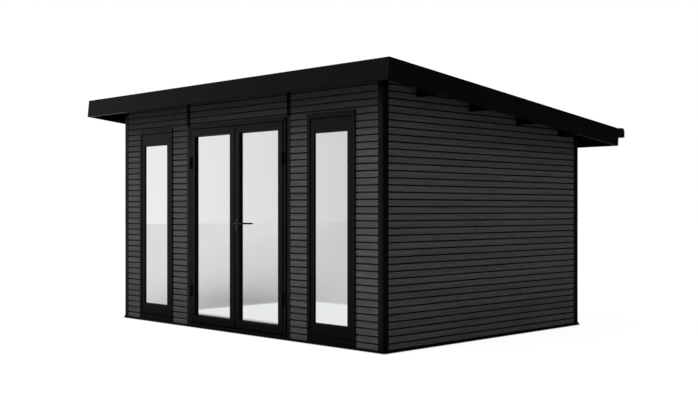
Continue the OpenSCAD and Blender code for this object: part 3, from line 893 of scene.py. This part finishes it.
# %% Sashes and door leaves
GLASS_LAP, LIP_SLOPE, GROOVE_IN = 10 * MM, 3 * MM, 20 * MM
GASKET_LIP, GASKET_STAND, GASKET_ROOT = 4.0 * MM, 2.5 * MM, 1 * MM
GASKET_EDGE, GASKET_SLANT, GASKET_EASE = 1.2 * MM, 0.6 * MM, 0.5 * MM
WINDOW_TRIM = (0.5 * MM, -3.0 * MM, 8.0 * MM, -1.0 * MM)
DOOR_TRIM = (3.0 * MM, -6.5 * MM, 3.0 * MM, -1.0 * MM)
SECTION_EASE = 2.0 * MM


def glazed_unit(prefix, frame_node, glass_node, body, trim):
    """A sash or a leaf: the moulded frame, its panes, and a rubber gasket along the glass on
    both faces. trim moves the left, foot, right and head lips further over the glass, or back
    where it is negative."""
    low, high = box(frame_node)
    glass_low, glass_high = box(glass_node)
    outer, light = rim(low, high), rim(glass_low, glass_high, GLASS_LAP)
    light = (light[0] + trim[0], light[1] + trim[1], light[2] - trim[2], light[3] - trim[3])
    y0, y1, g0, g1 = low[1], high[1], glass_low[1], glass_high[1]
    section = [
        (0, 0, y0), (1, 0, y0), (1, LIP_SLOPE, g0), (1, -GROOVE_IN, g0),
        (1, -GROOVE_IN, g1), (1, LIP_SLOPE, g1), (1, 0, y1), (0, 0, y1),
    ]
    width = light[0] - outer[0]
    piece(f"{prefix}_frame", mitred(outer, light, softened(section, width, SECTION_EASE)), coat_frame,
          body, [frame_node])
    strips = []
    root, lip = LIP_SLOPE - GASKET_ROOT, LIP_SLOPE + GASKET_LIP
    for face, out in ((g0, -1.0), (g1, 1.0)):
        strip = [
            (1, root, face + out * HAIRLINE), (1, lip, face + out * HAIRLINE),
            (1, lip - GASKET_SLANT, face + out * GASKET_EDGE), (1, root, face + out * GASKET_STAND),
        ]
        strips.append(mitred(outer, light, softened(strip, width, GASKET_EASE, 2)))
    piece(f"{prefix}_gasket", join(strips), black_rubber, body)
    double_pane(prefix, glass_node, body)


# %% The two windows and the two leaves
SASH_GAP, STOP_W = 6 * MM, 12 * MM
for side in ("left", "right"):
    glazed_unit(f"{side}_sash", f"{side}_window_sash", f"{side}_window_glass", "shed", WINDOW_TRIM)
    low, high = box(f"{side}_window_frame")
    sash_low, sash_high = box(f"{side}_window_sash")
    stop_y, stop = sash_high[1], SASH_GAP + STOP_W
    section = [
        (0, 0, low[1]), (1, 0, low[1]), (1, 0, stop_y),
        (1, stop, stop_y), (1, stop, high[1]), (0, 0, high[1]),
    ]
    outer, opening = rim(low, high), rim(sash_low, sash_high, -SASH_GAP)
    section = softened(section, opening[0] - outer[0], SECTION_EASE)
    piece(f"{side}_window_surround", mitred(outer, opening, section), coat_frame, "shed",
          [f"{side}_window_frame"])
    glazed_unit(f"{side}_leaf", f"{side}_door_leaf", f"{side}_door_glass", f"door_{side}", DOOR_TRIM)

# %% [markdown]
# ## Meeting seal
# Where the leaves meet, a soft rubber strip on the left leaf closes the gap. A seal is pressed
# through a die, so it is one outline carried straight up: broad at its root in the leaf, and
# narrow at its lip.

# %% Meeting seal
leaf_low, leaf_high = box("left_door_leaf")
SEAL_IN, SEAL_STEM, SEAL_OUT = -1 * MM, 1.5 * MM, 8 * MM
SEAL_HALF, SEAL_LIP, SEAL_EASE, SEAL_SHORT = 6 * MM, 1 * MM, 1 * MM, 4 * MM
seal_half = [(SEAL_IN, SEAL_HALF), (SEAL_STEM, SEAL_HALF), (SEAL_OUT, SEAL_LIP)]
seal = np.array([(x, -y) for x, y in seal_half] + seal_half[::-1])
seal = eased(seal + [leaf_high[0], (leaf_low[1] + leaf_high[1]) / 2], SEAL_EASE)
piece("meeting_seal", along(2, seal, leaf_low[2] + SEAL_SHORT, leaf_high[2] - SEAL_SHORT), black_rubber,
      "door_left")

# %% [markdown]
# ## Door surround, posts, hinges and levers
# These parts are moulded or cast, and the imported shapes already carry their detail: stops,
# threshold ribs, hinge knuckles and the lever's taper. They are copied with their edges eased.
# How far an edge is eased depends on the part: most on the broad jambs, least on the thin ribs.

# %% Surround, posts and fittings
eased_copy("door_jambs_moulded", "door_jambs", coat_jamb, "shed", 1.5 * MM)
eased_copy("door_head_moulded", "door_head", coat_frame, "shed", 1.5 * MM)
eased_copy("door_sill_moulded", "door_sill", coat_frame, "shed", 0.4 * MM, 1)
eased_copy("bay_posts_moulded", "bay_posts", coat_post, "shed", 0.8 * MM)
eased_copy("corner_posts_moulded", "corner_posts", coat_corner_shaded, "shed", 0.8 * MM)
for side in ("left", "right"):
    eased_copy(f"{side}_hinge_posts_cast", f"{side}_hinge_posts", coat_hinge, "shed",
               0.5 * MM)
    eased_copy(f"{side}_hinge_flags_cast", f"{side}_hinge_flags", coat_hinge,
               f"door_{side}", 0.4 * MM)
eased_copy("handle_levers_cast", "handle_levers", coat_handle, "handle", 0.5 * MM)

# %% [markdown]
# ## Handle plates and lock cylinder
# The plates behind the levers are crowned across their width, and fall away into round
# corners. A flat plate with eased edges would catch the light all at once. Each plate is a
# surface of level rings, bored for the lever's neck. The lock's profile cylinder stands out from
# it: a round barrel above a slot.

# %% Handle plates and profile cylinders
PLATE_T, PLATE_RIM, PLATE_CORNER, CORNER_CROWN = 8.0 * MM, 1.0 * MM, 12.0 * MM, 0.3
NECK_HOLE_R, CYLINDER_R, CYLINDER_SLOT, CYLINDER_PROUD = 9.5 * MM, 8.5 * MM, 5.0 * MM, 11.0 * MM
SPINDLE_UP, CYLINDER_UP, CYLINDER_LONG = 81 * MM, 31 * MM, 19 * MM


def crowned_plate(low, high, face, out):
    """Level rings up the plate, each half an oval: x = m - w cos(t) and y = rim + crown sin(t)
    off the leaf. In the corners w follows a quarter circle, and the crown sinks with it."""
    middle, half = 0.5 * (low[0] + high[0]), 0.5 * (high[0] - low[0])
    corner = np.linspace(0.0, math.pi / 2, 8)
    rise = PLATE_CORNER * (1 - np.cos(corner))
    levels = np.concatenate([low[2] + rise, high[2] - rise[::-1]])
    bulge = np.concatenate([np.sin(corner), np.sin(corner)[::-1]])[:, None]
    turn = np.linspace(0.0, math.pi, 25)
    wide = half - PLATE_CORNER + PLATE_CORNER * bulge
    x = middle - wide * np.cos(turn)
    y = PLATE_RIM + (PLATE_T - PLATE_RIM) * np.sin(turn) * (CORNER_CROWN + (1 - CORNER_CROWN) * bulge)
    x = np.hstack([x, x[:, -1:], x[:, :1]])
    y = np.hstack([y, 0 * wide, 0 * wide])
    return loft(np.stack([x, face + out * y, levels[:, None] + 0 * x], axis=2))


def keyed_outline(x, z):
    """The profile cylinder's outline: three quarters of a circle, and a slot with a round foot."""
    side = math.acos(CYLINDER_SLOT / CYLINDER_R)
    over = np.linspace(-side, math.pi + side, 29)
    under = np.linspace(math.pi, 2 * math.pi, 13)
    top = np.column_stack([x + CYLINDER_R * np.cos(over), z + CYLINDER_R * np.sin(over)])
    foot = [x, z - CYLINDER_LONG] + CYLINDER_SLOT * np.column_stack([np.cos(under), np.sin(under)])
    return np.vstack([top, foot])


low, high = box("handle_plates")
leaf_low, leaf_high = box("right_door_leaf")
spindle_x, spindle_z = 0.5 * (low[0] + high[0]), low[2] + SPINDLE_UP
turn = np.linspace(0.0, 2 * math.pi, 41)[:-1]
neck = np.column_stack([spindle_x + NECK_HOLE_R * np.cos(turn), spindle_z + NECK_HOLE_R * np.sin(turn)])
neck_bore = along(1, neck, low[1] - CLEAR, high[1] + CLEAR)
keyed = keyed_outline(spindle_x, low[2] + CYLINDER_UP)
for side, face, out in (("outer", leaf_low[1], -1.0), ("inner", leaf_high[1], 1.0)):
    plate = sawn(f"handle_plate_{side}", crowned_plate(low, high, face, out), [neck_bore])
    smooth_but(plate.data)
    finished(plate, coat_handle, "door_right", ["handle_plates"])
    ends = sorted((face + out * PLATE_RIM, face + out * CYLINDER_PROUD))
    piece(f"profile_cylinder_{side}", along(1, keyed, *ends), coat_handle, "door_right",
          (), 0.5 * MM)

# %% [markdown]
# ## Screws
# Each hinge plate has four screws and the outer handle plate has two. They are low domes with a
# six-sided socket. They are real shapes and not a bump, because they stand out from the plates.

# %% Screw heads
SCREW_R, SCREW_H, SOCKET_R, SOCKET_D, DOME = 3.4 * MM, 1.0 * MM, 1.5 * MM, 0.8 * MM, 0.65


def screw_head(x, y, z):
    """A low domed head that faces -y, with a six-sided socket. The dome is a loft of circles
    whose height above the plate is h (1 - d (r/R)^2), where d is the dome's share of it."""
    turn = np.linspace(0.0, 2 * math.pi, 25)[:-1]
    hexagon = SOCKET_R / np.cos((turn % (math.pi / 3)) - math.pi / 6)
    outline = [(SCREW_R, -HAIRLINE), (SCREW_R, (1 - DOME) * SCREW_H)]
    outline += [(share * SCREW_R, SCREW_H * (1 - DOME * share**2)) for share in (0.85, 0.7)]
    outline += [(hexagon, 0.9 * SCREW_H), (hexagon, SCREW_H - SOCKET_D)]
    rings = [
        np.column_stack([x + r * np.cos(turn), 0 * turn + y - h, z + r * np.sin(turn)]) for r, h in outline
    ]
    return loft(rings)


# %% Screws in hinges and handle
HINGE_SCREWS = np.array([-44.0, -25.0, 25.0, 44.0]) * MM
HINGE_Z = np.array([376.0, 1698.0]) * MM
HINGE_PLATE_T, HINGE_SCREW_IN, HANDLE_SCREW_IN = 4 * MM, 8.5 * MM, 11 * MM
screw_z = (HINGE_Z[:, None] + HINGE_SCREWS).ravel()
for side, sign in (("left", -1.0), ("right", 1.0)):
    post_low, post_high = box(f"{side}_hinge_posts")
    flag_low, flag_high = box(f"{side}_hinge_flags")
    post_edge = post_low[0] if sign < 0 else post_high[0]
    flag_edge = flag_high[0] if sign < 0 else flag_low[0]
    jamb_y = box("door_jambs")[0][1] - HINGE_PLATE_T
    leaf_y = leaf_low[1] - HINGE_PLATE_T
    fixed = [screw_head(post_edge - sign * HINGE_SCREW_IN, jamb_y, z) for z in screw_z]
    turning = [screw_head(flag_edge + sign * HINGE_SCREW_IN, leaf_y, z) for z in screw_z]
    piece(f"{side}_jamb_screws", join(fixed), coat_hinge)
    piece(f"{side}_leaf_screws", join(turning), coat_hinge, f"door_{side}")
plate_low, plate_high = box("handle_plates")
plate_x = (plate_low[0] + plate_high[0]) / 2
plate_z = (plate_low[2] + HANDLE_SCREW_IN, plate_high[2] - HANDLE_SCREW_IN)
plate_screws = [screw_head(plate_x, leaf_low[1] - PLATE_T, z) for z in plate_z]
piece("handle_screws", join(plate_screws), coat_handle, "door_right")

# %% [markdown]
# ## Base and floor
# A black steel frame lies on the ground, with treated bearers inside it. The floor is laid
# with planed boards about 120 mm wide, which run along the shed and have a V-joint between
# neighbours. The frame is mitred like the windows' frames: it is made standing and laid down by
# swapping two coordinates. The boards are separate solids, so that the joints are really there.

# %% Boards side by side
BOARD_GAP = 0.15 * MM


def planks(count, first, pitch, low, high, vee, both_faces=False):
    """Outlines of boards side by side: each one pitch wide between two levels, less a gap on
    either side, with its upper corners, or all four, cut back to make half a V."""
    left, right = BOARD_GAP, pitch - BOARD_GAP
    foot = vee if both_faces else 0.0
    lower = [(left, low + foot), (left + foot, low), (right - foot, low), (right, low + foot)]
    upper = [(right, high - vee), (right - vee, high), (left + vee, high), (left, high - vee)]
    one = np.array((lower if both_faces else lower[1:3]) + upper)
    return [one + [first + pitch * k, 0.0] for k in range(count)]


# %% Base and floor
RAIL_W, RAIL_EASE = 110 * MM, 1.5 * MM
base_outer = (base_low[0], base_low[1], base_high[0], base_high[1])
base_inner = tuple(np.array(base_outer) + np.array([1, 1, -1, -1]) * RAIL_W)
rail = [(0, 0, base_low[2]), (1, 0, base_low[2]), (1, 0, base_high[2]), (0, 0, base_high[2])]
standing = mitred(base_outer, base_inner, softened(rail, RAIL_W, RAIL_EASE))
lying = placed(standing, lambda points: points[:, [0, 2, 1]])
piece("base_rails", lying, coat_steel, "shed", ["base_frame"])
eased_copy("bearers_sawn", "floor_bearers", bearer_timber, "shed", 2 * MM)

floor_low, floor_high = box("floor_boards")
FLOOR_BOARDS, FLOOR_VEE, FLOOR_SEED = 24, 1.5 * MM, 21
floor_pitch = (floor_high[1] - floor_low[1]) / FLOOR_BOARDS
floor_outlines = planks(FLOOR_BOARDS, floor_low[1], floor_pitch, floor_low[2], floor_high[2], FLOOR_VEE)
laid = [along(0, outline, floor_low[0], floor_high[0]) for outline in floor_outlines]
floor_planks = new_object("floor_planks", join(laid))
mark_tone(floor_planks, face_centres(floor_planks.data)[:, 1], floor_low[1], floor_pitch, FLOOR_SEED)
finished(keep_flat(floor_planks), floor_timber, "shed", ["floor_boards"])
print(FLOOR_BOARDS, "floor boards,", round(floor_pitch * 1000, 1), "mm apart")

# %% [markdown]
# ## Roof
# Four purlins run across the shed, with their ends showing under the overhang, and carry
# boards that run down the slope. A fascia board closes each side of the roof. All of this is
# drawn upright in the roof's own frame and then turned by its pitch in one step, because it is
# easier to measure along a slope than across it.

# %% Purlins
SIDE_X = roof_x - FASCIA_T
COVER_N = DECK_N + DECK_T
bars = [block((-SIDE_X, s, PURLIN_LIFT), (SIDE_X, s + PURLIN_W, DECK_N - HAIRLINE)) for s in purlin_s]
piece("purlin_bars", placed(join(bars), on_roof), purlin_timber, "shed", ["purlins"],
      2 * MM)

# %% Roof boards
DECK_BOARDS, DECK_VEE, DECK_SEED = 38, 3 * MM, 22
deck_pitch = 2 * SIDE_X / DECK_BOARDS
deck_outlines = planks(DECK_BOARDS, -SIDE_X, deck_pitch, DECK_N, COVER_N, DECK_VEE, True)
lengths = [along(1, outline, FASCIA_T, roof_length - FASCIA_T) for outline in deck_outlines]
deck = new_object("deck_boards", placed(join(lengths), on_roof))
mark_tone(deck, face_centres(deck.data)[:, 0], -SIDE_X, deck_pitch, DECK_SEED)
finished(keep_flat(deck), deck_timber, "shed", ["roof_boards"])

# %% Fascias
FASCIA_EASE = 1.5 * MM
fascia_boards = {
    "front_fascia": ((-roof_x, 0, 0), (roof_x, FASCIA_T, FASCIA_H)),
    "back_fascia": ((-SIDE_X, roof_length - FASCIA_T, 0), (SIDE_X, roof_length, COVER_N)),
    "left_fascia": ((-roof_x, FASCIA_T, 0), (-SIDE_X, roof_length, FASCIA_H)),
    "right_fascia": ((SIDE_X, FASCIA_T, 0), (roof_x, roof_length, FASCIA_H)),
}
for name, (low, high) in fascia_boards.items():
    piece(f"{name}_board", placed(block(low, high), on_roof), coat_fascia, "shed",
          [name], FASCIA_EASE)

# %% [markdown]
# ## Roof sheet
# Over the boards lies bitumen felt in four sheets with lapped joints. It is turned up in a
# fillet against the front and side fascias, and turned down over the back one into the gutter.
# The covering can't be seen from the ground, so this is simply the usual one. Its long section,
# with a step at each lap, is one outline carried along the eaves. The slate granules are the
# cells of a Voronoi texture, each with its own grey.

# %% Felt
FELT_COLOUR = (0.05, 0.05, 0.052)
GRANULES, DUST_SCALE = 380.0, 1.6


def sheet_finish():
    """Mineral roofing felt: small slate granules of mixed grey in black bitumen, and a matt,
    dusty tone that drifts over the sheet. Scales are in cells and cycles a metre."""
    felt = Finish("granule_felt", FELT_COLOUR, 0.92, 0.15)
    cells = felt.node("ShaderNodeTexVoronoi")
    cells.inputs["Scale"].default_value = GRANULES
    felt.wire(felt.place, cells.inputs["Vector"])
    grey = felt.node("ShaderNodeSeparateXYZ")
    felt.wire(cells.outputs["Color"], grey.inputs[0])
    dust = felt.noise(felt.stretched([DUST_SCALE] * 3), detail=4.0)
    mixed = felt.between(grey.outputs["X"], 0.45, 1.7)
    amount = felt.maths("MULTIPLY", mixed, felt.between(dust, 0.75, 1.25))
    felt.colour_from(felt.tint(FELT_COLOUR, amount))
    felt.bump(cells.outputs["Distance"], 0.8 * MM, 0.7)
    return felt.material


granule_felt = sheet_finish()

# %% Sheets and laps
SHEETS, SHEET_T, LAP, LAP_T = 4, 2.2 * MM, 80 * MM, 1.8 * MM
LAP_RAMP, LAP_EDGE = 12 * MM, 0.6 * MM
DRIP, DRIP_H, DRIP_ROUND, DRIP_DROP = 13 * MM, 12 * MM, 3 * MM, 1 * MM
sheet_end = roof_length + DRIP
sheet_n = COVER_N + SHEET_T
upper = [(FASCIA_T, sheet_n)]
for k in range(1, SHEETS):
    lap_end = FASCIA_T + (sheet_end - FASCIA_T) * k / SHEETS
    upper += [(lap_end - LAP - LAP_RAMP, sheet_n), (lap_end - LAP, sheet_n + LAP_T),
              (lap_end, sheet_n + LAP_T), (lap_end + LAP_EDGE, sheet_n)]
upper += [(sheet_end - DRIP_ROUND, sheet_n), (sheet_end, COVER_N - DRIP_DROP)]
upper += [(sheet_end, COVER_N - DRIP_H)]
under = [(sheet_end - SHEET_T, COVER_N - DRIP_H), (sheet_end - SHEET_T, COVER_N), (FASCIA_T, COVER_N)]
sheet = along(0, upper + under, -SIDE_X, SIDE_X)
print("sheet", round(sheet_end - FASCIA_T, 3), "m down the slope, in", SHEETS, "widths")

# %% Fillets at the fascias
FILLET, TURN_UP = 8 * MM, 10 * MM
turn = np.linspace(0.0, math.pi / 2, 7)
hollow = np.column_stack([FILLET * (1 - np.sin(turn)), TURN_UP * (1 - np.cos(turn))])
hollow = np.vstack([hollow, [0.0, 0.0]])
front_turn = along(0, hollow + [FASCIA_T, COVER_N], -SIDE_X, SIDE_X)
side_turns = []
for sign in (-1.0, 1.0):
    outline = np.column_stack([sign * (SIDE_X - hollow[:, 0]), COVER_N + hollow[:, 1]])
    side_turns.append(along(1, outline, FASCIA_T, roof_length))
felt_shape = placed(join([sheet, front_turn, *side_turns]), on_roof)
piece("roof_felt", felt_shape, granule_felt, "shed", ["roof_covering"])

# %% [markdown]
# ## Gutter
# A box gutter hangs along the back on straps. Its channel is bent sheet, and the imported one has
# its real wall, so it is copied. Its ends are closed by stop ends, plates that are slipped into
# the channel and stand a little above it.

# %% Gutter
eased_copy("gutter_channel", "gutter", coat_gutter, "shed", 0.5 * MM)
eased_copy("gutter_straps", "gutter_brackets", coat_gutter, "shed", 0.8 * MM)

# %% Stop ends
STOP_T, STOP_RISE, STOP_DOWN, STOP_NEAR, STOP_FAR = 2.5 * MM, 18 * MM, 45 * MM, 4 * MM, 10 * MM
STOP_ROUND, STOP_IN = 6 * MM, 3.2 * MM
low, high = box("gutter")
y0, y1, z0, z1 = low[1] + STOP_NEAR, high[1] - STOP_FAR, high[2] - STOP_DOWN, high[2] + STOP_RISE
stop = eased([(y0, z0), (y1, z0), (y1, z1), (y0, z1)], STOP_ROUND, 4)
for side, end, inward in (("left", low[0], 1.0), ("right", high[0], -1.0)):
    start = end + inward * STOP_IN
    plate = along(0, stop, *sorted((start, start + inward * STOP_T)))
    piece(f"gutter_stop_end_{side}", plate, coat_gutter)

# %% [markdown]
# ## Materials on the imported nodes
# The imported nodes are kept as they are. They take the same finishes as the pieces that stand
# for them: a few by name, the rest by a word in their name, and what is left is frame black.

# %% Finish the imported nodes
node_finish = {
    "base_frame": coat_steel, "floor_bearers": bearer_timber, "floor_boards": floor_timber,
    "corner_posts": coat_corner_shaded, "bay_posts": coat_post, "purlins": purlin_timber,
    "roof_boards": deck_timber, "roof_covering": granule_felt,
    "gutter": coat_gutter, "gutter_brackets": coat_gutter,
    "handle_plates": coat_handle, "handle_levers": coat_handle,
}
word_finish = {
    "glass": mirrored_glass, "fascia": coat_fascia, "hinge": coat_hinge,
    "wall": boards_dark, "gable": boards_dark, "jambs": coat_jamb,
}
for name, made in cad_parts.items():
    found = [material for word, material in word_finish.items() if word in name]
    made.data.materials.clear()
    made.data.materials.append(node_finish.get(name, found[0] if found else coat_frame))
print(len(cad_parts), "packed nodes finished")

# %% [markdown]
# ## Floor, sky and lamp
# The shed stands on a plain pale floor under an even sky. One broad lamp at the front left
# makes the front wall brighter than the side wall. The mirrored glass shows the sky, which is
# brightest towards the left, and the floor, which is pale close to the shed and greyer
# further off. The camera itself sees both as white: the Light Path node tells a ray that comes
# straight from the camera from one that a mirror sends on, and from one that lights a surface.

# %% Stage helpers


def socket_of(tree, kind, value_name, inputs, **settings):
    """A new node's output, its inputs joined to sockets or set to numbers."""
    made = tree.nodes.new(kind)
    for key, value in settings.items():
        setattr(made, key, value)
    for key, value in inputs.items():
        if isinstance(value, bpy.types.NodeSocket):
            tree.links.new(value, made.inputs[key])
        else:
            made.inputs[key].default_value = value
    return made.outputs[value_name]


def mixed_number(tree, share, first, second):
    """A number that goes from the first to the second as the share goes from 0 to 1."""
    return socket_of(tree, "ShaderNodeMix", 0, {0: share, 2: first, 3: second}, data_type="FLOAT")


def light_path_pick(tree, camera_value, mirror_value, other_value):
    """A number that depends on what kind of ray asks: one straight from the camera, one that
    a mirror or glass sends on, or one that lights a surface."""
    path = tree.nodes.new("ShaderNodeLightPath").outputs
    either = {0: path["Is Glossy Ray"], 1: path["Is Transmission Ray"]}
    mirror = socket_of(tree, "ShaderNodeMath", 0, either, operation="MAXIMUM")
    unseen = mixed_number(tree, mirror, other_value, mirror_value)
    return mixed_number(tree, path["Is Camera Ray"], unseen, camera_value)


def ramp(tree, value, from_low, from_high, to_low, to_high):
    """A number that goes from one level to another between two values, and stays there."""
    limits = {"From Min": from_low, "From Max": from_high, "To Min": to_low, "To Max": to_high}
    return socket_of(tree, "ShaderNodeMapRange", "Result", {"Value": value, **limits})


# %% [markdown]
# ## Floor
# The floor is white to the camera by its own glow, and dark enough itself that the lamp adds
# little. Close to the base its glow falls away, so that the shed stands on it with a thin
# contact shadow. A mirror sees another floor: a pale area in front of the shed and grey ground
# beyond. All of this is measured from places on the ground, so it is the same in every view.

# %% Floor
FLOOR_BASE = 0.08
FLOOR_CAMERA_GLOW = 0.94
CONTACT_REACH = 35 * MM
HALF_BASE = (2.0, 1.51, 0.0)
PALE_X, PALE_Y, PALE_VALUE, PALE_BLEND = (-2.1, 2.6), (-4.3, -2.35), 0.86, 0.08
GREY_FAR, GREY_DROP, GREY_REACH, GREY_WIDTH, GREY_MIDDLE = 0.62, 0.30, 3.0, 1.6, (2.5, 3.8, 0.0)
GREY_LEFT, GREY_RIGHT = 1.18, 0.95
FRONT_GLOW, SIDE_GLOW, SIDEWAYS = 0.15, 0.30, 3.0
SHADE_FROM, SHADE_TO, SHADE_LEFT = 0.4, 0.9, 0.1
RIGHT_FROM, RIGHT_TO, RIGHT_LEFT = -0.5, 1.5, 0.12
LIT_FROM, LIT_TO = 0.2, 2.0


def inside(tree, value, low, high):
    """1 between two places and 0 beyond them, with a short blend, as a product of two ramps."""
    rise = ramp(tree, value, low - PALE_BLEND, low + PALE_BLEND, 0.0, 1.0)
    fall = ramp(tree, value, high - PALE_BLEND, high + PALE_BLEND, 1.0, 0.0)
    return socket_of(tree, "ShaderNodeMath", 0, {0: rise, 1: fall}, operation="MULTIPLY")


def floor_finish():
    """Pale matt floor. Its own glow reaches white for the camera and keeps the shadow. A mirror
    sees a pale area in front of the shed and grey ground beyond it. The grey is darkest at the
    area's corner: at a distance r from the corner, and q across the line out of the corner, it
    is far - drop exp(-r / reach - (q / width)^2). Walls get no light from the strip of floor
    at their foot, and more and more from the floor further out."""
    material = bpy.data.materials.new("pale_floor")
    material.use_nodes = True
    tree = material.node_tree

    def maths(operation, *values):
        return socket_of(tree, "ShaderNodeMath", 0, dict(enumerate(values)), operation=operation)

    def vector(operation, output, *values):
        return socket_of(tree, "ShaderNodeVectorMath", output, dict(enumerate(values)), operation=operation)

    shader = tree.nodes["Principled BSDF"]
    shader.inputs["Base Color"].default_value = (FLOOR_BASE, FLOOR_BASE, FLOOR_BASE, 1.0)
    shader.inputs["Roughness"].default_value = 1.0
    shader.inputs["Specular IOR Level"].default_value = 0.0
    shader.inputs["Emission Color"].default_value = (1.0, 1.0, 1.0, 1.0)
    place = tree.nodes.new("ShaderNodeTexCoord").outputs["Object"]
    outside = vector("SUBTRACT", "Vector", vector("ABSOLUTE", "Vector", place), HALF_BASE)
    outside = vector("MAXIMUM", "Vector", outside, (0.0, 0.0, 0.0))
    distance = vector("LENGTH", "Value", outside)
    rightward = vector("DOT_PRODUCT", "Value", place, (1.0, 1.0, 0.0))
    x = vector("DOT_PRODUCT", "Value", place, (1.0, 0.0, 0.0))
    y = vector("DOT_PRODUCT", "Value", place, (0.0, 1.0, 0.0))
    reach = vector("LENGTH", "Value", vector("ADD", "Vector", place, GREY_MIDDLE))
    sideways = maths("SUBTRACT", x, y)
    across = maths("POWER", maths("DIVIDE", maths("SUBTRACT", sideways, 1.0), GREY_WIDTH), 2.0)
    drop = maths("EXPONENT", maths("SUBTRACT", maths("DIVIDE", reach, -GREY_REACH), across))
    turned = ramp(tree, sideways, -SIDEWAYS, SIDEWAYS, GREY_LEFT, GREY_RIGHT)
    grey = maths("MULTIPLY", maths("MULTIPLY_ADD", drop, -GREY_DROP, GREY_FAR), turned)
    pale = maths("MULTIPLY", inside(tree, x, *PALE_X), inside(tree, y, *PALE_Y))
    seen = mixed_number(tree, pale, grey, PALE_VALUE)
    shade = maths("MULTIPLY", ramp(tree, distance, SHADE_FROM, SHADE_TO, SHADE_LEFT, 1.0),
                  ramp(tree, rightward, RIGHT_FROM, RIGHT_TO, 1.0, RIGHT_LEFT))
    lit = maths("MULTIPLY", ramp(tree, distance, LIT_FROM, LIT_TO, 0.0, 1.0),
                ramp(tree, rightward, -SIDEWAYS, SIDEWAYS, FRONT_GLOW, SIDE_GLOW))
    contact = ramp(tree, distance, 0.0, CONTACT_REACH, 0.0, FLOOR_CAMERA_GLOW)
    glow = light_path_pick(tree, contact, maths("MULTIPLY", seen, shade), lit)
    tree.links.new(glow, shader.inputs["Emission Strength"])
    return material


FLOOR_HALF, FLOOR_DROP = 60.0, 0.5 * MM
floor_points = np.array([[-1, -1, 0], [1, -1, 0], [1, 1, 0], [-1, 1, 0]]) * FLOOR_HALF
floor_points[:, 2] = -FLOOR_DROP
floor = new_object("pale_floor", (floor_points, [[0, 1, 2, 3]]))
floor.data.materials.append(floor_finish())
print("floor", 2 * FLOOR_HALF, "m across")

# %% [markdown]
# ## Sky and lamp
# The sky that lights the shed is brightest overhead. The sky that a mirror sees is dark on the
# right and bright on the left, which is what gives the black coats their sheen and the glass its
# pale front. It follows a power of the direction's share towards the bright side. The lamp is a
# sun with a very wide angle, like light through thin cloud, so its shadows have soft edges.

# %% Sky
SKY_LOW, SKY_HIGH = 0.115, 1.15
MIRROR_LOW, MIRROR_HIGH, MIRROR_POWER = 0.03, 1.11, 8.4
BRIGHT_SIDE = (-0.94, -0.34, 0.0)
world = bpy.data.worlds.new("even_sky")
scene.world = world
world.use_nodes = True
tree = world.node_tree
background = tree.nodes["Background"]
background.inputs["Color"].default_value = (1.0, 1.0, 1.0, 1.0)
direction = tree.nodes.new("ShaderNodeTexCoord").outputs["Generated"]
towards = socket_of(
    tree, "ShaderNodeVectorMath", "Value", {0: direction, 1: BRIGHT_SIDE}, operation="DOT_PRODUCT")
share = ramp(tree, towards, -1.0, 1.0, 0.0, 1.0)
peak = socket_of(tree, "ShaderNodeMath", 0, {0: share, 1: MIRROR_POWER}, operation="POWER")
mirror_sky = ramp(tree, peak, 0.0, 1.0, MIRROR_LOW, MIRROR_HIGH)
height = socket_of(tree, "ShaderNodeSeparateXYZ", "Z", {0: direction})
soft_sky = ramp(tree, height, 0.0, 1.0, SKY_LOW, SKY_HIGH)
tree.links.new(light_path_pick(tree, 1.0, mirror_sky, soft_sky), background.inputs["Strength"])
print("sky", SKY_LOW, "at the horizon,", SKY_HIGH, "overhead")

# %% Lamp
LAMP_HEIGHT, LAMP_SIDE, LAMP_SPREAD = math.radians(52), math.radians(-28), math.radians(50)
LAMP_STRENGTH = 1.73
lamp_data = bpy.data.lights.new("broad_lamp", "SUN")
lamp_data.angle = LAMP_SPREAD
lamp_data.energy = LAMP_STRENGTH
lamp = bpy.data.objects.new("broad_lamp", lamp_data)
lamp.rotation_euler = (math.pi / 2 - LAMP_HEIGHT, 0.0, LAMP_SIDE)
scene.collection.objects.link(lamp)
print("lamp", round(math.degrees(LAMP_HEIGHT)), "degrees up, strength", LAMP_STRENGTH)
